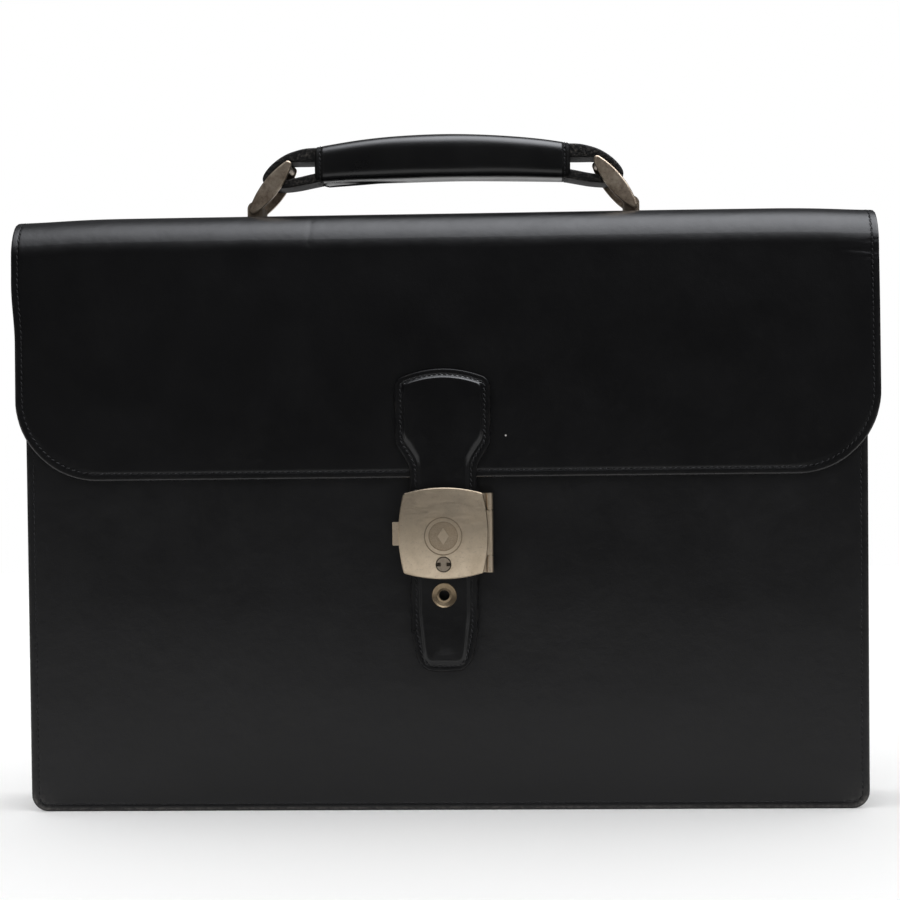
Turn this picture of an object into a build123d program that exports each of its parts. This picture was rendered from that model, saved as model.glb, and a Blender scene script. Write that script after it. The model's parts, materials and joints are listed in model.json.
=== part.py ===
"""A slim black leather briefcase: fold-over flap, strap with a hinged metal clasp, rolled handle.

Frame: millimetres, X to the right as seen from the front, Y from front to back, Z up.
The origin is on the surface the case stands on, under the middle of the whole closed case.
The front and back panels stand on their edges; the gusset between them is set in by the sewn margin.
"""

from build123d import *
import math
import os

# ---- driving dimensions ----
HEIGHT = 280.0            # top of the leather spine
FLAP_WIDTH = 404.0        # flap, spine and top of the back panel
PANEL_TOP_WIDTH = 395.0   # front panel at its top edge
PANEL_FOOT_WIDTH = 391.0  # front and back panels at the bottom
DEPTH = 60.0              # outside of the front panel to outside of the back panel
Y_MID = 6.5               # middle of that depth, so that the whole case with its clasp is centred on Y 0

LEATHER = 2.0             # panel leather
BOARD = 1.2               # stiffener board
LINING = 0.6              # inner lining of the body
FLAP_LINING = 1.0         # leather lining of the flap and spine
GUSSET = 1.6              # gusset leather
MARGIN = 7.0              # sewn margin outside the gusset
BOARD_INSET = 11.2        # boards and linings stop this far inside the panel edge, clear of the pleats
GAP = 0.6                 # air between the front panel and the closed flap

FOLD_RADIUS = 14.0        # outside of the two top folds
PANEL_TOP = 262.0         # top edge of the front panel
FLAP_FOOT = 155.0         # lower edge of the flap
FLAP_CORNER = 39.0        # lower corners of the flap
PANEL_CORNER = 8.0        # lower corners of the panels

FRONT = Y_MID - DEPTH / 2                  # outside of the front panel
BACK = Y_MID + DEPTH / 2                   # outside of the back panel
FLAP_INNER = FRONT - GAP                   # inside of the closed flap
FLAP_OUTER = FLAP_INNER - FLAP_LINING - LEATHER
INNER_FRONT = FRONT + LEATHER + BOARD + LINING
INNER_BACK = BACK - LEATHER - BOARD - LINING

FOLD_Z = HEIGHT - FOLD_RADIUS              # centres of the two fold arcs
FRONT_FOLD = (FLAP_OUTER + FOLD_RADIUS, FOLD_Z)
REAR_FOLD = (BACK - FOLD_RADIUS, FOLD_Z)
SPLIT_GAP = 1.0                            # degrees of arc left free on each side of a fold's split

# ---- gusset, divider and pocket ----
PLEAT_LOW = 2.0           # how far the pleat folds in at the bottom
PLEAT_HIGH = 20.0         # how far it folds in at the mouth
BOTTOM_BOARD = 1.5
DIVIDER = 3.0
DIVIDER_SKIN = 0.9
DIVIDER_TOP = 240.0
POCKET_WIDTH = 200.0
POCKET_HEIGHT = 135.0
POCKET_FOOT = 70.0        # lower edge of the pocket

# ---- closure strap and clasp ----
STRAP_LINER = 1.0
STRAP_TOP = 1.4           # top leather of the strap at its sewn margin
STRAP_FILL = 1.6          # filler under the raised middle
CLASP_Z = 129.3           # centre of the clasp
STUD_Z = 127.0            # stud and upper eyelet
EYELET_Z = 100.5          # spare lower eyelet
EYELET_HOLE = 2.45
EYELET_WALL = 0.55
EYELET_FLANGE = 5.8
RIVET_R = 1.2             # rivets of the stud plate
CLASP_RIVET_R = 1.0
STUD_PLATE = 1.0
STUD_ROOT = 1.9           # radius of the tapered stud at the plate
STUD_TIP = 0.9
STUD_LENGTH = 3.6
TRAY = 1.2                # clasp base behind the strap
WALL_IN, WALL_OUT = 16.3, 18.2             # side walls of the clasp base

STRAP_BACK = FLAP_OUTER
STRAP_FACE = STRAP_BACK - STRAP_LINER - STRAP_TOP
PAD_FACE = STRAP_FACE - STRAP_FILL

COVER_BACK = PAD_FACE - 1.3                # back of the closed clasp cover
COVER_DEPTH = 4.1
COVER_FACE = COVER_BACK - COVER_DEPTH
COVER_WALL = 1.0
COVER_DOME = 170.0                         # radius of the cover's slightly domed face
BACKPLATE = 0.7
HINGE_X = 21.4                             # clasp hinge pin
HINGE_Y = COVER_BACK
KNUCKLE_R = 1.7
PIN_R = 0.8
KNUCKLES = [(111.1, 118.6), (118.9, 139.7), (140.0, 147.7)]   # lower, middle and upper, from Z to Z
KEY_Z = 115.0
KEY_R = 3.7                                # key bore in the cover
KEY_GAP = 0.22                             # round the cylinder in its bore
TAB_HALF = 5.4            # half height of the release tab
TAB_OUT = 2.8             # how far the tab stands out of the cover
TAB_THICK = 1.6
RUN = 0.1                 # running clearance round the tab

# ---- handle ----
HANDLE_Y = (FLAP_OUTER + BACK) / 2         # the handle stands on the middle of the spine
LUG_X = 90.0
LUG_Z = 284.5                              # lower link pins
LINK = 25.3                                # pin to pin
LEAN = 37.8                                # links lean in from the vertical, degrees
LINK_END = 5.95                            # cheek beyond each pin
LINK_PIN_R = 1.75
CHEEK_INNER = 9.4                          # from the handle's middle plane to a cheek
CHEEK = 2.6
STRAP_HALF = 9.0                           # half width of the handle strap
GRIP_HALF = 61.0                           # half length of the grip
GRIP_WRAP = 1.5                            # leather wrapped round the grip
LUG_WIDE, LUG_DEEP = 7.2, 18.0             # lug post along X and along Y
LUG_FOOT = (14.0, 26.0, 1.4)               # foot of a lug, under the bar
LUG_SCREW_Y = 11.0                         # lug screws, in front of and behind the post
LUG_SCREW_R = 1.1
SPINE_BAR = 1.6

PARTS = "parts"
os.makedirs(PARTS, exist_ok=True)


# ---- helpers ----
def slab(sketch, y_front, y_back):
    """A sketch in X and Z made solid from y_front to y_back."""
    return extrude(Plane.XZ.offset(-y_back) * sketch, y_back - y_front)


def bar(sketch, half_width):
    """A sketch in Y and Z made solid from -half_width to half_width along X."""
    return extrude(Plane.YZ.offset(-half_width) * sketch, 2 * half_width)


def box(x0, x1, y0, y1, z0, z1):
    """An axis-aligned block between two corners."""
    return Pos((x0 + x1) / 2, (y0 + y1) / 2, (z0 + z1) / 2) * Box(x1 - x0, y1 - y0, z1 - z0)


def rod(radius, start, end):
    """A round bar from start to end."""
    axis = Vector(*end) - Vector(*start)
    return extrude(Plane(origin=start, z_dir=axis) * Circle(radius), axis.length)


def outline(points, corners=()):
    """A closed outline in two dimensions. corners is a list of (vertex number, radius)."""
    face = make_face(Polyline(*points, close=True))
    for number, radius in corners:
        vertex = face.vertices().sort_by_distance((*points[number], 0))[0]
        face = fillet(vertex, radius)
    return face


def mirrored(points):
    """The same points with the sign of X changed, in reverse order."""
    return [(-x, z) for x, z in reversed(points)]


def save(name, shape):
    """Writes one node's STEP file."""
    solids = shape.solids()
    whole = solids[0] if len(solids) == 1 else Compound(children=list(solids))
    export_step(whole, os.path.join(PARTS, name + ".step"))


# ---- body panels ----
def panel_outline(foot, top, z_top, inset=0.0):
    """A panel that narrows towards its foot, with rounded lower corners."""
    low, high = foot / 2 - inset, top / 2 - inset
    points = [(-low, inset), (low, inset), (high, z_top), (-high, z_top)]
    corner = max(PANEL_CORNER - inset, 1.5)
    return outline(points, [(0, corner), (1, corner)])


def fold_section(depth_out, depth_in, piece):
    """One layer of the single leather skin, in Y and Z. Both depths are measured in from its outside.

    piece is "leaf" (the flap's front), "spine" (the top) or "back" (the back panel).
    """
    outer, inner = FOLD_RADIUS - depth_out, FOLD_RADIUS - depth_in
    reach = 3 * FOLD_RADIUS

    def sector(centre, start, end):
        """Part of the ring round a fold's centre, between two angles in degrees."""
        ring = Circle(outer) - Circle(inner)
        edges = [(reach * math.cos(math.radians(a)), reach * math.sin(math.radians(a))) for a in (start, end)]
        return Pos(*centre) * (ring & outline([(0, 0), *edges]))

    if piece == "leaf":
        straight = Pos(FLAP_OUTER + (depth_out + depth_in) / 2, (FOLD_Z + FLAP_FOOT) / 2) * Rectangle(
            depth_in - depth_out, FOLD_Z - FLAP_FOOT)
        return sector(FRONT_FOLD, 135 + SPLIT_GAP, 180) + straight
    if piece == "back":
        middle = BACK - (depth_out + depth_in) / 2
        straight = Pos(middle, FOLD_Z / 2) * Rectangle(depth_in - depth_out, FOLD_Z)
        return sector(REAR_FOLD, 0, 45 - SPLIT_GAP) + straight
    flat = Pos((FRONT_FOLD[0] + REAR_FOLD[0]) / 2, HEIGHT - (depth_out + depth_in) / 2) * Rectangle(
        REAR_FOLD[0] - FRONT_FOLD[0], depth_in - depth_out)
    return sector(FRONT_FOLD, 90, 135 - SPLIT_GAP) + flat + sector(REAR_FOLD, 45 + SPLIT_GAP, 90)


def flap_outline(inset=0.0):
    """The flap from the front, with its two large lower corners."""
    half = FLAP_WIDTH / 2 - inset
    foot = FLAP_FOOT + inset
    points = [(-half, foot), (half, foot), (half, HEIGHT), (-half, HEIGHT)]
    return outline(points, [(0, FLAP_CORNER - inset), (1, FLAP_CORNER - inset)])


def make_front_panel():
    """Front panel: leather, stiffener board and lining. The three rivets' holes are cut through all."""
    outside = panel_outline(PANEL_FOOT_WIDTH, PANEL_TOP_WIDTH, PANEL_TOP)
    inside = panel_outline(PANEL_FOOT_WIDTH, PANEL_TOP_WIDTH, PANEL_TOP - 2, BOARD_INSET)
    layers = {
        "front_panel": slab(outside, FRONT, FRONT + LEATHER),
        "front_board": slab(inside, FRONT + LEATHER, FRONT + LEATHER + BOARD),
        "front_lining": slab(inside, FRONT + LEATHER + BOARD, INNER_FRONT),
    }
    for x, z in rivet_places():
        hole = rod(RIVET_R, (x, FRONT - 5, z), (x, INNER_FRONT + 5, z))
        layers = {name: shape - hole for name, shape in layers.items()}
    return layers


def make_back_panel():
    """Back panel up to the split in the rear fold: leather, stiffener board and lining."""
    inset = BOARD_INSET
    leather = bar(fold_section(0, LEATHER, "back"), FLAP_WIDTH / 2)
    trim = slab(panel_outline(PANEL_FOOT_WIDTH, FLAP_WIDTH, HEIGHT), FRONT, BACK + 5)
    inner = panel_outline(PANEL_FOOT_WIDTH, PANEL_TOP_WIDTH, FOLD_Z - 4, inset)
    return {
        "back_panel": leather & trim,
        "back_board": slab(inner, BACK - LEATHER - BOARD, BACK - LEATHER),
        "back_lining": slab(inner, INNER_BACK, BACK - LEATHER - BOARD),
    }


def gusset_section(edge, fold):
    """Right-hand gusset from above: two sewn flanges and a pleat that folds in by fold."""
    y0, y1 = FRONT + LEATHER, BACK - LEATHER
    web = edge - MARGIN
    return [
        (edge, y0), (web - GUSSET, y0), (web - GUSSET - 0.3 - fold, Y_MID), (web - GUSSET, y1), (edge, y1),
        (edge, y1 - GUSSET), (web, y1 - GUSSET), (web - fold, Y_MID), (web, y0 + GUSSET), (edge, y0 + GUSSET),
    ]


def make_gussets():
    """Side gussets, pleated deeper towards the mouth, and the bottom gusset strip with its board."""
    z_low, z_high = MARGIN + GUSSET + 0.2, PANEL_TOP - 4
    low = Pos(0, 0, z_low) * outline(gusset_section(PANEL_FOOT_WIDTH / 2, PLEAT_LOW))
    high = Pos(0, 0, z_high) * outline(gusset_section(PANEL_TOP_WIDTH / 2 - 0.2, PLEAT_HIGH))
    right = loft([low, high], ruled=True)
    half = PANEL_FOOT_WIDTH / 2 - PANEL_CORNER - 1
    y0, y1 = FRONT + LEATHER, BACK - LEATHER
    strip = outline([
        (y0, 0), (y0 + GUSSET, 0), (y0 + GUSSET, MARGIN), (y1 - GUSSET, MARGIN), (y1 - GUSSET, 0), (y1, 0),
        (y1, MARGIN + GUSSET), (y0, MARGIN + GUSSET),
    ])
    floor_z = MARGIN + GUSSET
    board_top = floor_z + BOTTOM_BOARD
    inner = BOARD + LINING + 0.4
    board = box(-half + 6, half - 6, y0 + inner, y1 - inner, floor_z, board_top)
    lining = box(-half + 6, half - 6, y0 + inner, y1 - inner, board_top, board_top + LINING)
    return {
        "gusset_right": right,
        "gusset_left": mirror(right, Plane.YZ),
        "gusset_bottom": bar(strip, half),
        "bottom_board": board,
        "bottom_lining": lining,
    }


def make_divider():
    """Divider between the two compartments, sewn to the pleats, as a board with a skin on each side."""
    z0 = MARGIN + GUSSET + BOTTOM_BOARD + LINING + 0.5
    low = PANEL_FOOT_WIDTH / 2 - MARGIN - GUSSET - PLEAT_LOW - 1.5
    high = PANEL_TOP_WIDTH / 2 - MARGIN - GUSSET - PLEAT_HIGH - 1.0
    shape = outline([(-low, z0), (low, z0), (high, DIVIDER_TOP), (-high, DIVIDER_TOP)], [(2, 8), (3, 8)])
    core = DIVIDER / 2 - DIVIDER_SKIN
    return {
        "divider_board": slab(shape, Y_MID - core, Y_MID + core),
        "divider_front_skin": slab(shape, Y_MID - DIVIDER / 2, Y_MID - core),
        "divider_rear_skin": slab(shape, Y_MID + core, Y_MID + DIVIDER / 2),
    }


def make_pocket():
    """Slip pocket on the back lining, open at its top."""
    half, top = POCKET_WIDTH / 2, POCKET_FOOT + POCKET_HEIGHT
    skin, room, rim = 1.0, 1.2, 4.0
    front = INNER_BACK - skin - room
    corners = [(-half, POCKET_FOOT), (half, POCKET_FOOT), (half, top), (-half, top)]
    shape = outline(corners, [(0, 10), (1, 10)])
    hollow = box(-half + rim, half - rim, front + skin, INNER_BACK, POCKET_FOOT + rim, top)
    return {"slip_pocket": slab(shape, front, INNER_BACK) - hollow}


# ---- spine and flap ----
def lug_slots(margin):
    """The two slots that the lug posts pass through."""
    wide, deep = LUG_WIDE + margin, LUG_DEEP + margin
    return [box(s * LUG_X - wide / 2, s * LUG_X + wide / 2, HANDLE_Y - deep / 2, HANDLE_Y + deep / 2,
                HEIGHT - 12, HEIGHT + 2) for s in (-1, 1)]


def make_spine():
    """Top of the case between the two folds: leather, a stiff bar that carries the handle, and the lining."""
    leather = bar(fold_section(0, LEATHER, "spine"), FLAP_WIDTH / 2)
    for slot in lug_slots(0.2):
        leather -= slot
    z_bar = HEIGHT - LEATHER
    half = FLAP_WIDTH / 2 - 8
    stiffener = box(-half, half, FRONT_FOLD[0] + 1, REAR_FOLD[0] - 1, z_bar - SPINE_BAR, z_bar)
    z_lining = z_bar - SPINE_BAR
    lining = box(-half, half, FRONT_FOLD[0] + 1, REAR_FOLD[0] - 1, z_lining - FLAP_LINING, z_lining)
    for slot in lug_slots(0.2):
        stiffener -= slot
    for s in (-1, 1):
        lining -= box(s * LUG_X - 9, s * LUG_X + 9, HANDLE_Y - 15, HANDLE_Y + 15, z_lining - 5, z_lining + 1)
    return {"spine_leather": leather, "spine_bar": stiffener, "spine_lining": lining}


def make_flap():
    """Front leaf of the flap below the split in the front fold: leather with a leather lining."""
    trim = slab(flap_outline(), FLAP_OUTER - 5, FRONT_FOLD[0])
    inner_trim = slab(flap_outline(0.4), FLAP_OUTER - 5, FRONT_FOLD[0])
    leather = bar(fold_section(0, LEATHER, "leaf"), FLAP_WIDTH / 2) & trim
    lining = bar(fold_section(LEATHER, LEATHER + FLAP_LINING, "leaf"), FLAP_WIDTH / 2) & inner_trim
    return {"flap_leather": leather, "flap_lining": lining}


# ---- closure strap ----
def strap_outline():
    """The whole strap: a wide sewn head on the flap, a waist, and a narrower tongue down to its tip."""
    side = [(11.8, 66.2), (15.6, 84.0), (15.6, 160.5), (22.2, 171.0), (22.2, 200.6)]
    tip = ThreePointArc((-11.8, 66.2), (0, 65.0), (11.8, 66.2))
    head = ThreePointArc((22.2, 200.6), (0, 205.7), (-22.2, 200.6))
    face = make_face([tip, Polyline(*side), head, Polyline(*mirrored(side))])
    return round_corners(face, list(zip(side, (5.5, 14.0, 9.0, 7.0, 3.5))))


def pad_outline(inset=0.0):
    """The raised middle of the strap. inset shrinks it for the filler."""
    i = inset
    side = [(8.8 - i, 68.9 + i), (11.2 - i, 92.0), (11.2 - i, 163.5), (18.2 - i, 174.0),
            (18.2 - i, 198.6 - i)]
    head = ThreePointArc((18.2 - i, 198.6 - i), (0, 202.2 - i), (-18.2 + i, 198.6 - i))
    foot = Line((-8.8 + i, 68.9 + i), (8.8 - i, 68.9 + i))
    face = make_face([foot, Polyline(*side), head, Polyline(*mirrored(side))])
    return round_corners(face, list(zip(side, (2.5, 14.0, 8.0, 6.0, 2.0))))


def round_corners(face, corners):
    """Rounds each named corner and the one mirrored across X 0."""
    for (x, z), radius in corners:
        for sign in (1, -1):
            vertex = face.vertices().sort_by_distance((sign * x, z, 0))[0]
            face = fillet(vertex, radius)
    return face


def make_strap():
    """Closure strap: liner, moulded top leather and the filler that raises it, with two eyelet holes."""
    liner = slab(strap_outline(), STRAP_BACK - STRAP_LINER, STRAP_BACK)
    top = slab(strap_outline(), STRAP_FACE, STRAP_BACK - STRAP_LINER)
    top += slab(pad_outline(), PAD_FACE, STRAP_FACE)
    filler = slab(pad_outline(1.2), STRAP_BACK - STRAP_LINER - STRAP_FILL, STRAP_BACK - STRAP_LINER)
    top -= filler
    for z in (STUD_Z, EYELET_Z):
        hole = rod(EYELET_HOLE + EYELET_WALL, (0, PAD_FACE - 2, z), (0, STRAP_BACK + 2, z))
        liner, top, filler = liner - hole, top - hole, filler - hole
    for x, z in clasp_rivets():
        hole = rod(CLASP_RIVET_R, (x, PAD_FACE - 2, z), (x, STRAP_BACK + 2, z))
        liner, top, filler = liner - hole, top - hole, filler - hole
    return {"strap_liner": liner, "closure_strap": top, "strap_filler": filler}


def make_eyelets():
    """Two eyelets: a dished flange with a barrel through the strap, and a washer behind."""
    nodes = {}
    r0, r1, flange = EYELET_HOLE, EYELET_HOLE + EYELET_WALL, EYELET_FLANGE
    thick = STRAP_BACK - PAD_FACE
    profile = [(r0, -0.35), (3.4, -0.15), (4.9, -0.55), (flange - 0.25, -0.8), (flange, -0.45), (flange, 0),
               (r1, 0), (r1, thick + 0.35), (r0, thick + 0.35)]
    washer = [(r1, thick), (4.6, thick), (4.6, thick + 0.35), (r1, thick + 0.35)]
    for name, z in (("upper", STUD_Z), ("lower", EYELET_Z)):
        place = Plane(origin=(0, PAD_FACE, z), x_dir=(1, 0, 0), z_dir=(0, 0, 1))
        for kind, points in (("eyelet", profile), ("eyelet_washer", washer)):
            face = place * outline(points)
            nodes[f"{kind}_{name}"] = revolve(face, Axis((0, PAD_FACE, z), (0, 1, 0)), 360)
    return nodes


# ---- clasp ----
def rivet_places():
    """Rivets of the stud plate, as (X, Z)."""
    return [(sx * 8.0, STUD_Z + sz * 9.0) for sx in (-1, 1) for sz in (-1, 1)]


def clasp_rivets():
    """Rivets that hold the clasp base to the strap, as (X, Z)."""
    return [(-7.5, CLASP_Z + 13.5), (7.5, CLASP_Z + 13.5)]


def make_stud_plate():
    """Plate with a tapered stud on the front panel, the backing plate inside the case and four rivets."""
    y_plate = FRONT - STUD_PLATE
    plate = slab(Pos(0, STUD_Z) * RectangleRounded(23, 25, 3), y_plate, FRONT)
    base = Plane(origin=(0, y_plate, STUD_Z), z_dir=(0, -1, 0))
    stud = loft([base * Circle(STUD_ROOT), base.offset(STUD_LENGTH) * Circle(STUD_TIP)])
    plate += stud
    backing = slab(Pos(0, STUD_Z) * RectangleRounded(23, 25, 3), INNER_FRONT, INNER_FRONT + 0.8)
    rivets = None
    for x, z in rivet_places():
        rivet = rod(RIVET_R, (x, y_plate - 0.3, z), (x, INNER_FRONT + 0.8, z))
        rivet += rod(1.9, (x, INNER_FRONT + 0.8, z), (x, INNER_FRONT + 1.4, z))
        rivets = rivet if rivets is None else rivets + rivet
        plate -= rod(RIVET_R, (x, y_plate - 1, z), (x, FRONT, z))
        backing -= rod(RIVET_R, (x, INNER_FRONT, z), (x, INNER_FRONT + 1, z))
    return {"stud_plate": plate, "stud_backing": backing, "stud_rivets": rivets}


def cover_outline(inset=0.0):
    """Pillow shape of the clasp cover: four bowed sides, about the clasp's centre."""
    half, bow_x, bow_z = 18.4 - inset, 20.8 - inset, 21.1 - inset
    corners = [(half, half), (-half, half), (-half, -half), (half, -half)]
    middles = [(0, bow_z), (-bow_x, 0), (0, -bow_z), (bow_x, 0)]
    arcs = [ThreePointArc(corners[i], middles[i], corners[(i + 1) % 4]) for i in range(4)]
    face = fillet(make_face(arcs).vertices(), max(1.4 - inset * 0.5, 0.5))
    return Pos(0, CLASP_Z) * face


def knuckle(z0, z1):
    """One hinge knuckle, without its hole."""
    return rod(KNUCKLE_R, (HINGE_X, HINGE_Y, z0), (HINGE_X, HINGE_Y, z1))


def make_clasp_base():
    """Tray behind the strap with two side walls, the fixed knuckles, the catch lip, and its two rivets."""
    tray_back = FRONT - STUD_PLATE - 0.5
    tray_front = tray_back - TRAY
    tray = slab(Pos(0, CLASP_Z) * RectangleRounded(2 * WALL_OUT, 33, 2), tray_front, tray_back)
    wall_front = COVER_BACK + 0.25
    for sign in (-1, 1):
        x = sorted((sign * WALL_IN, sign * WALL_OUT))
        tray += box(*x, wall_front, tray_back, CLASP_Z - 15, CLASP_Z + 15)
    arm_back = HINGE_Y + KNUCKLE_R + 0.4
    for z0, z1 in (KNUCKLES[0], KNUCKLES[2]):
        tray += knuckle(z0, z1)
        tray += box(WALL_OUT - 0.5, HINGE_X, HINGE_Y + 0.25, arm_back, z0, z1)
        tray += box(WALL_IN, WALL_OUT, HINGE_Y + 0.25, arm_back, z0, z1)
    tray -= rod(PIN_R, (HINGE_X, HINGE_Y, 100), (HINGE_X, HINGE_Y, 160))
    tray -= rod(EYELET_HOLE, (0, tray_front - 1, STUD_Z), (0, tray_back + 1, STUD_Z))
    rivets = None
    for x, z in clasp_rivets():
        tray -= rod(CLASP_RIVET_R, (x, tray_front - 1, z), (x, tray_back + 1, z))
        rivet = rod(CLASP_RIVET_R, (x, PAD_FACE - 0.5, z), (x, tray_back, z))
        rivet += rod(1.8, (x, PAD_FACE - 0.6, z), (x, PAD_FACE, z))
        rivets = rivet if rivets is None else rivets + rivet
    pin = rod(PIN_R, (HINGE_X, HINGE_Y, KNUCKLES[0][0]), (HINGE_X, HINGE_Y, KNUCKLES[2][1]))
    return {"clasp_base": tray, "clasp_rivets": rivets, "hinge_pin": pin}


def dome(depth):
    """Ball whose front is the cover's domed face, set in by depth."""
    return Pos(0, COVER_FACE + COVER_DOME, CLASP_Z) * Sphere(COVER_DOME - depth)


def make_clasp_cover():
    """Hinged cover: domed shell with a round engraved ornament and a key bore, and its back plate."""
    inner = 1.4
    shell = slab(cover_outline(), COVER_FACE - 1, COVER_BACK) & dome(0)
    shell = chamfer(shell.faces().sort_by(Axis.Y)[0].edges(), 0.45)
    shell -= slab(cover_outline(inner), COVER_FACE - 1, COVER_BACK) & dome(COVER_WALL)
    slot_half = TAB_HALF + RUN
    tab_front, tab_back = tab_faces()
    shell -= box(-24, -15.2, tab_front - RUN, tab_back + RUN, CLASP_Z - slot_half, CLASP_Z + slot_half)
    z0, z1 = KNUCKLES[1]
    shell += knuckle(z0, z1) + box(18.5, HINGE_X, HINGE_Y - KNUCKLE_R, HINGE_Y, z0, z1)
    for low, high in (KNUCKLES[0], KNUCKLES[2]):
        shell -= rod(KNUCKLE_R + 0.25, (HINGE_X, HINGE_Y, low - 0.2), (HINGE_X, HINGE_Y, high + 0.2))
    shell -= rod(PIN_R + 0.04, (HINGE_X, HINGE_Y, z0 - 1), (HINGE_X, HINGE_Y, z1 + 1))
    shell -= rod(KEY_R, (0, COVER_FACE - 1, KEY_Z), (0, COVER_BACK, KEY_Z))
    shell -= ornament_cut()
    plate = slab(cover_outline(inner + 0.05), COVER_BACK - BACKPLATE, COVER_BACK)
    plate -= box(-20.5, -12, COVER_BACK - 2, COVER_BACK + 1, CLASP_Z - 4, CLASP_Z + 4)
    plate -= box(18.3, 22, COVER_BACK - 2, COVER_BACK + 1, CLASP_Z - 20, CLASP_Z + 20)
    return {"clasp_cover": shell, "cover_backplate": plate}


def ornament_cut():
    """Engraved ring and a shallow round dish with a plain raised lozenge, cut into the domed face."""
    centre = Pos(0, CLASP_Z - 1.3)
    ring = slab(centre * (Circle(8.8) - Circle(8.4)), COVER_FACE - 1, COVER_FACE + 2) - dome(0.3)
    lozenge = outline([(2.6, 0), (0, 4.0), (-2.6, 0), (0, -4.0)])
    dish = slab(centre * (Circle(6.6) - lozenge), COVER_FACE - 1, COVER_FACE + 2) - dome(0.35)
    return ring + dish


def tab_faces():
    """Front and back of the release tab, in Y."""
    back = COVER_BACK - BACKPLATE - RUN
    return back - TAB_THICK, back


def make_release_tab():
    """Sliding release tab with its latch nose, and the bent leaf spring and its stop behind it."""
    y0, y1 = tab_faces()
    tab = box(-20.8 - TAB_OUT, -10.0, y0, y1, CLASP_Z - TAB_HALF, CLASP_Z + TAB_HALF)
    outer = tab.faces().sort_by(Axis.X)[0].edges()
    tab = fillet(outer, 0.5)
    tab -= box(-17.2, -9, y0 - 1, y1 - 0.8, CLASP_Z - 8, CLASP_Z + 8)
    nose = box(-WALL_IN + 0.35, -14.6, y1, COVER_BACK + 1.1, CLASP_Z - 3.2, CLASP_Z + 3.2)
    ends, bend, leaf_thick = -9.9, -8.4, 0.3
    leaf = outline([
        (ends, CLASP_Z - 4), (ends + leaf_thick, CLASP_Z - 4), (bend + leaf_thick, CLASP_Z),
        (ends + leaf_thick, CLASP_Z + 4), (ends, CLASP_Z + 4), (bend, CLASP_Z),
    ])
    post = box(-7.9, -6.4, y0 + 0.2, y1, CLASP_Z - 5, CLASP_Z + 5)
    return {"release_tab": tab + nose, "tab_spring": slab(leaf, y0 + 0.3, y1 - 0.2), "spring_stop": post}


def make_key_cylinder():
    """Key cylinder, recessed in the cover, with two key pockets, and the locking cam behind it."""
    face = COVER_FACE + 0.6
    y_cam = COVER_BACK - BACKPLATE - 0.15
    cylinder = rod(KEY_R - KEY_GAP, (0, face, KEY_Z), (0, y_cam - 1.0, KEY_Z))
    cylinder += rod(1.6, (0, y_cam - 1.0, KEY_Z), (0, y_cam, KEY_Z))
    for sign in (-1, 1):
        cylinder -= rod(0.95, (sign * 2.0, face - 1, KEY_Z), (sign * 2.0, face + 1.0, KEY_Z))
        cylinder -= box(*sorted((sign * 2.0, sign * KEY_R)), face - 1, face + 0.9, KEY_Z - 0.7, KEY_Z + 0.7)
    arm = slab(Pos(3.0, KEY_Z) * RectangleRounded(10.8, 4.4, 1.5), y_cam - 0.9, y_cam)
    arm -= rod(1.6, (0, y_cam - 1.0, KEY_Z), (0, y_cam + 1, KEY_Z))
    return {"key_cylinder": cylinder, "lock_cam": arm}


# ---- handle ----
def pin_place(lean=LEAN):
    """Upper link pin on the right-hand side, as (X, Z)."""
    return (LUG_X - LINK * math.sin(math.radians(lean)), LUG_Z + LINK * math.cos(math.radians(lean)))


def make_lugs():
    """Lug posts that pass up through the spine, with a foot under the bar and two screws each."""
    nodes = {}
    z_foot = HEIGHT - LEATHER - SPINE_BAR
    screws = None
    for side, s in (("left", -1), ("right", 1)):
        x = s * LUG_X
        profile = Pos(x, (z_foot + LUG_Z) / 2) * Rectangle(LUG_WIDE, LUG_Z - z_foot)
        profile += Pos(x, LUG_Z) * Circle(LUG_WIDE / 2)
        post = slab(profile, HANDLE_Y - LUG_DEEP / 2, HANDLE_Y + LUG_DEEP / 2)
        foot = Pos(x, HANDLE_Y, z_foot - LUG_FOOT[2] / 2) * Box(*LUG_FOOT)
        lug = post + foot - rod(LINK_PIN_R + 0.05, (x, HANDLE_Y - 20, LUG_Z), (x, HANDLE_Y + 20, LUG_Z))
        for t in (-1, 1):
            y = HANDLE_Y + t * LUG_SCREW_Y
            z_head = z_foot - LUG_FOOT[2]
            lug -= rod(LUG_SCREW_R, (x, y, z_foot - 3), (x, y, z_foot + 0.1))
            screw = rod(LUG_SCREW_R, (x, y, z_head), (x, y, z_foot))
            screw += rod(1.9, (x, y, z_head - 0.9), (x, y, z_head))
            screws = screw if screws is None else screws + screw
        nodes[f"lug_{side}"] = lug
    nodes["lug_screws"] = screws
    return nodes


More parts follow.
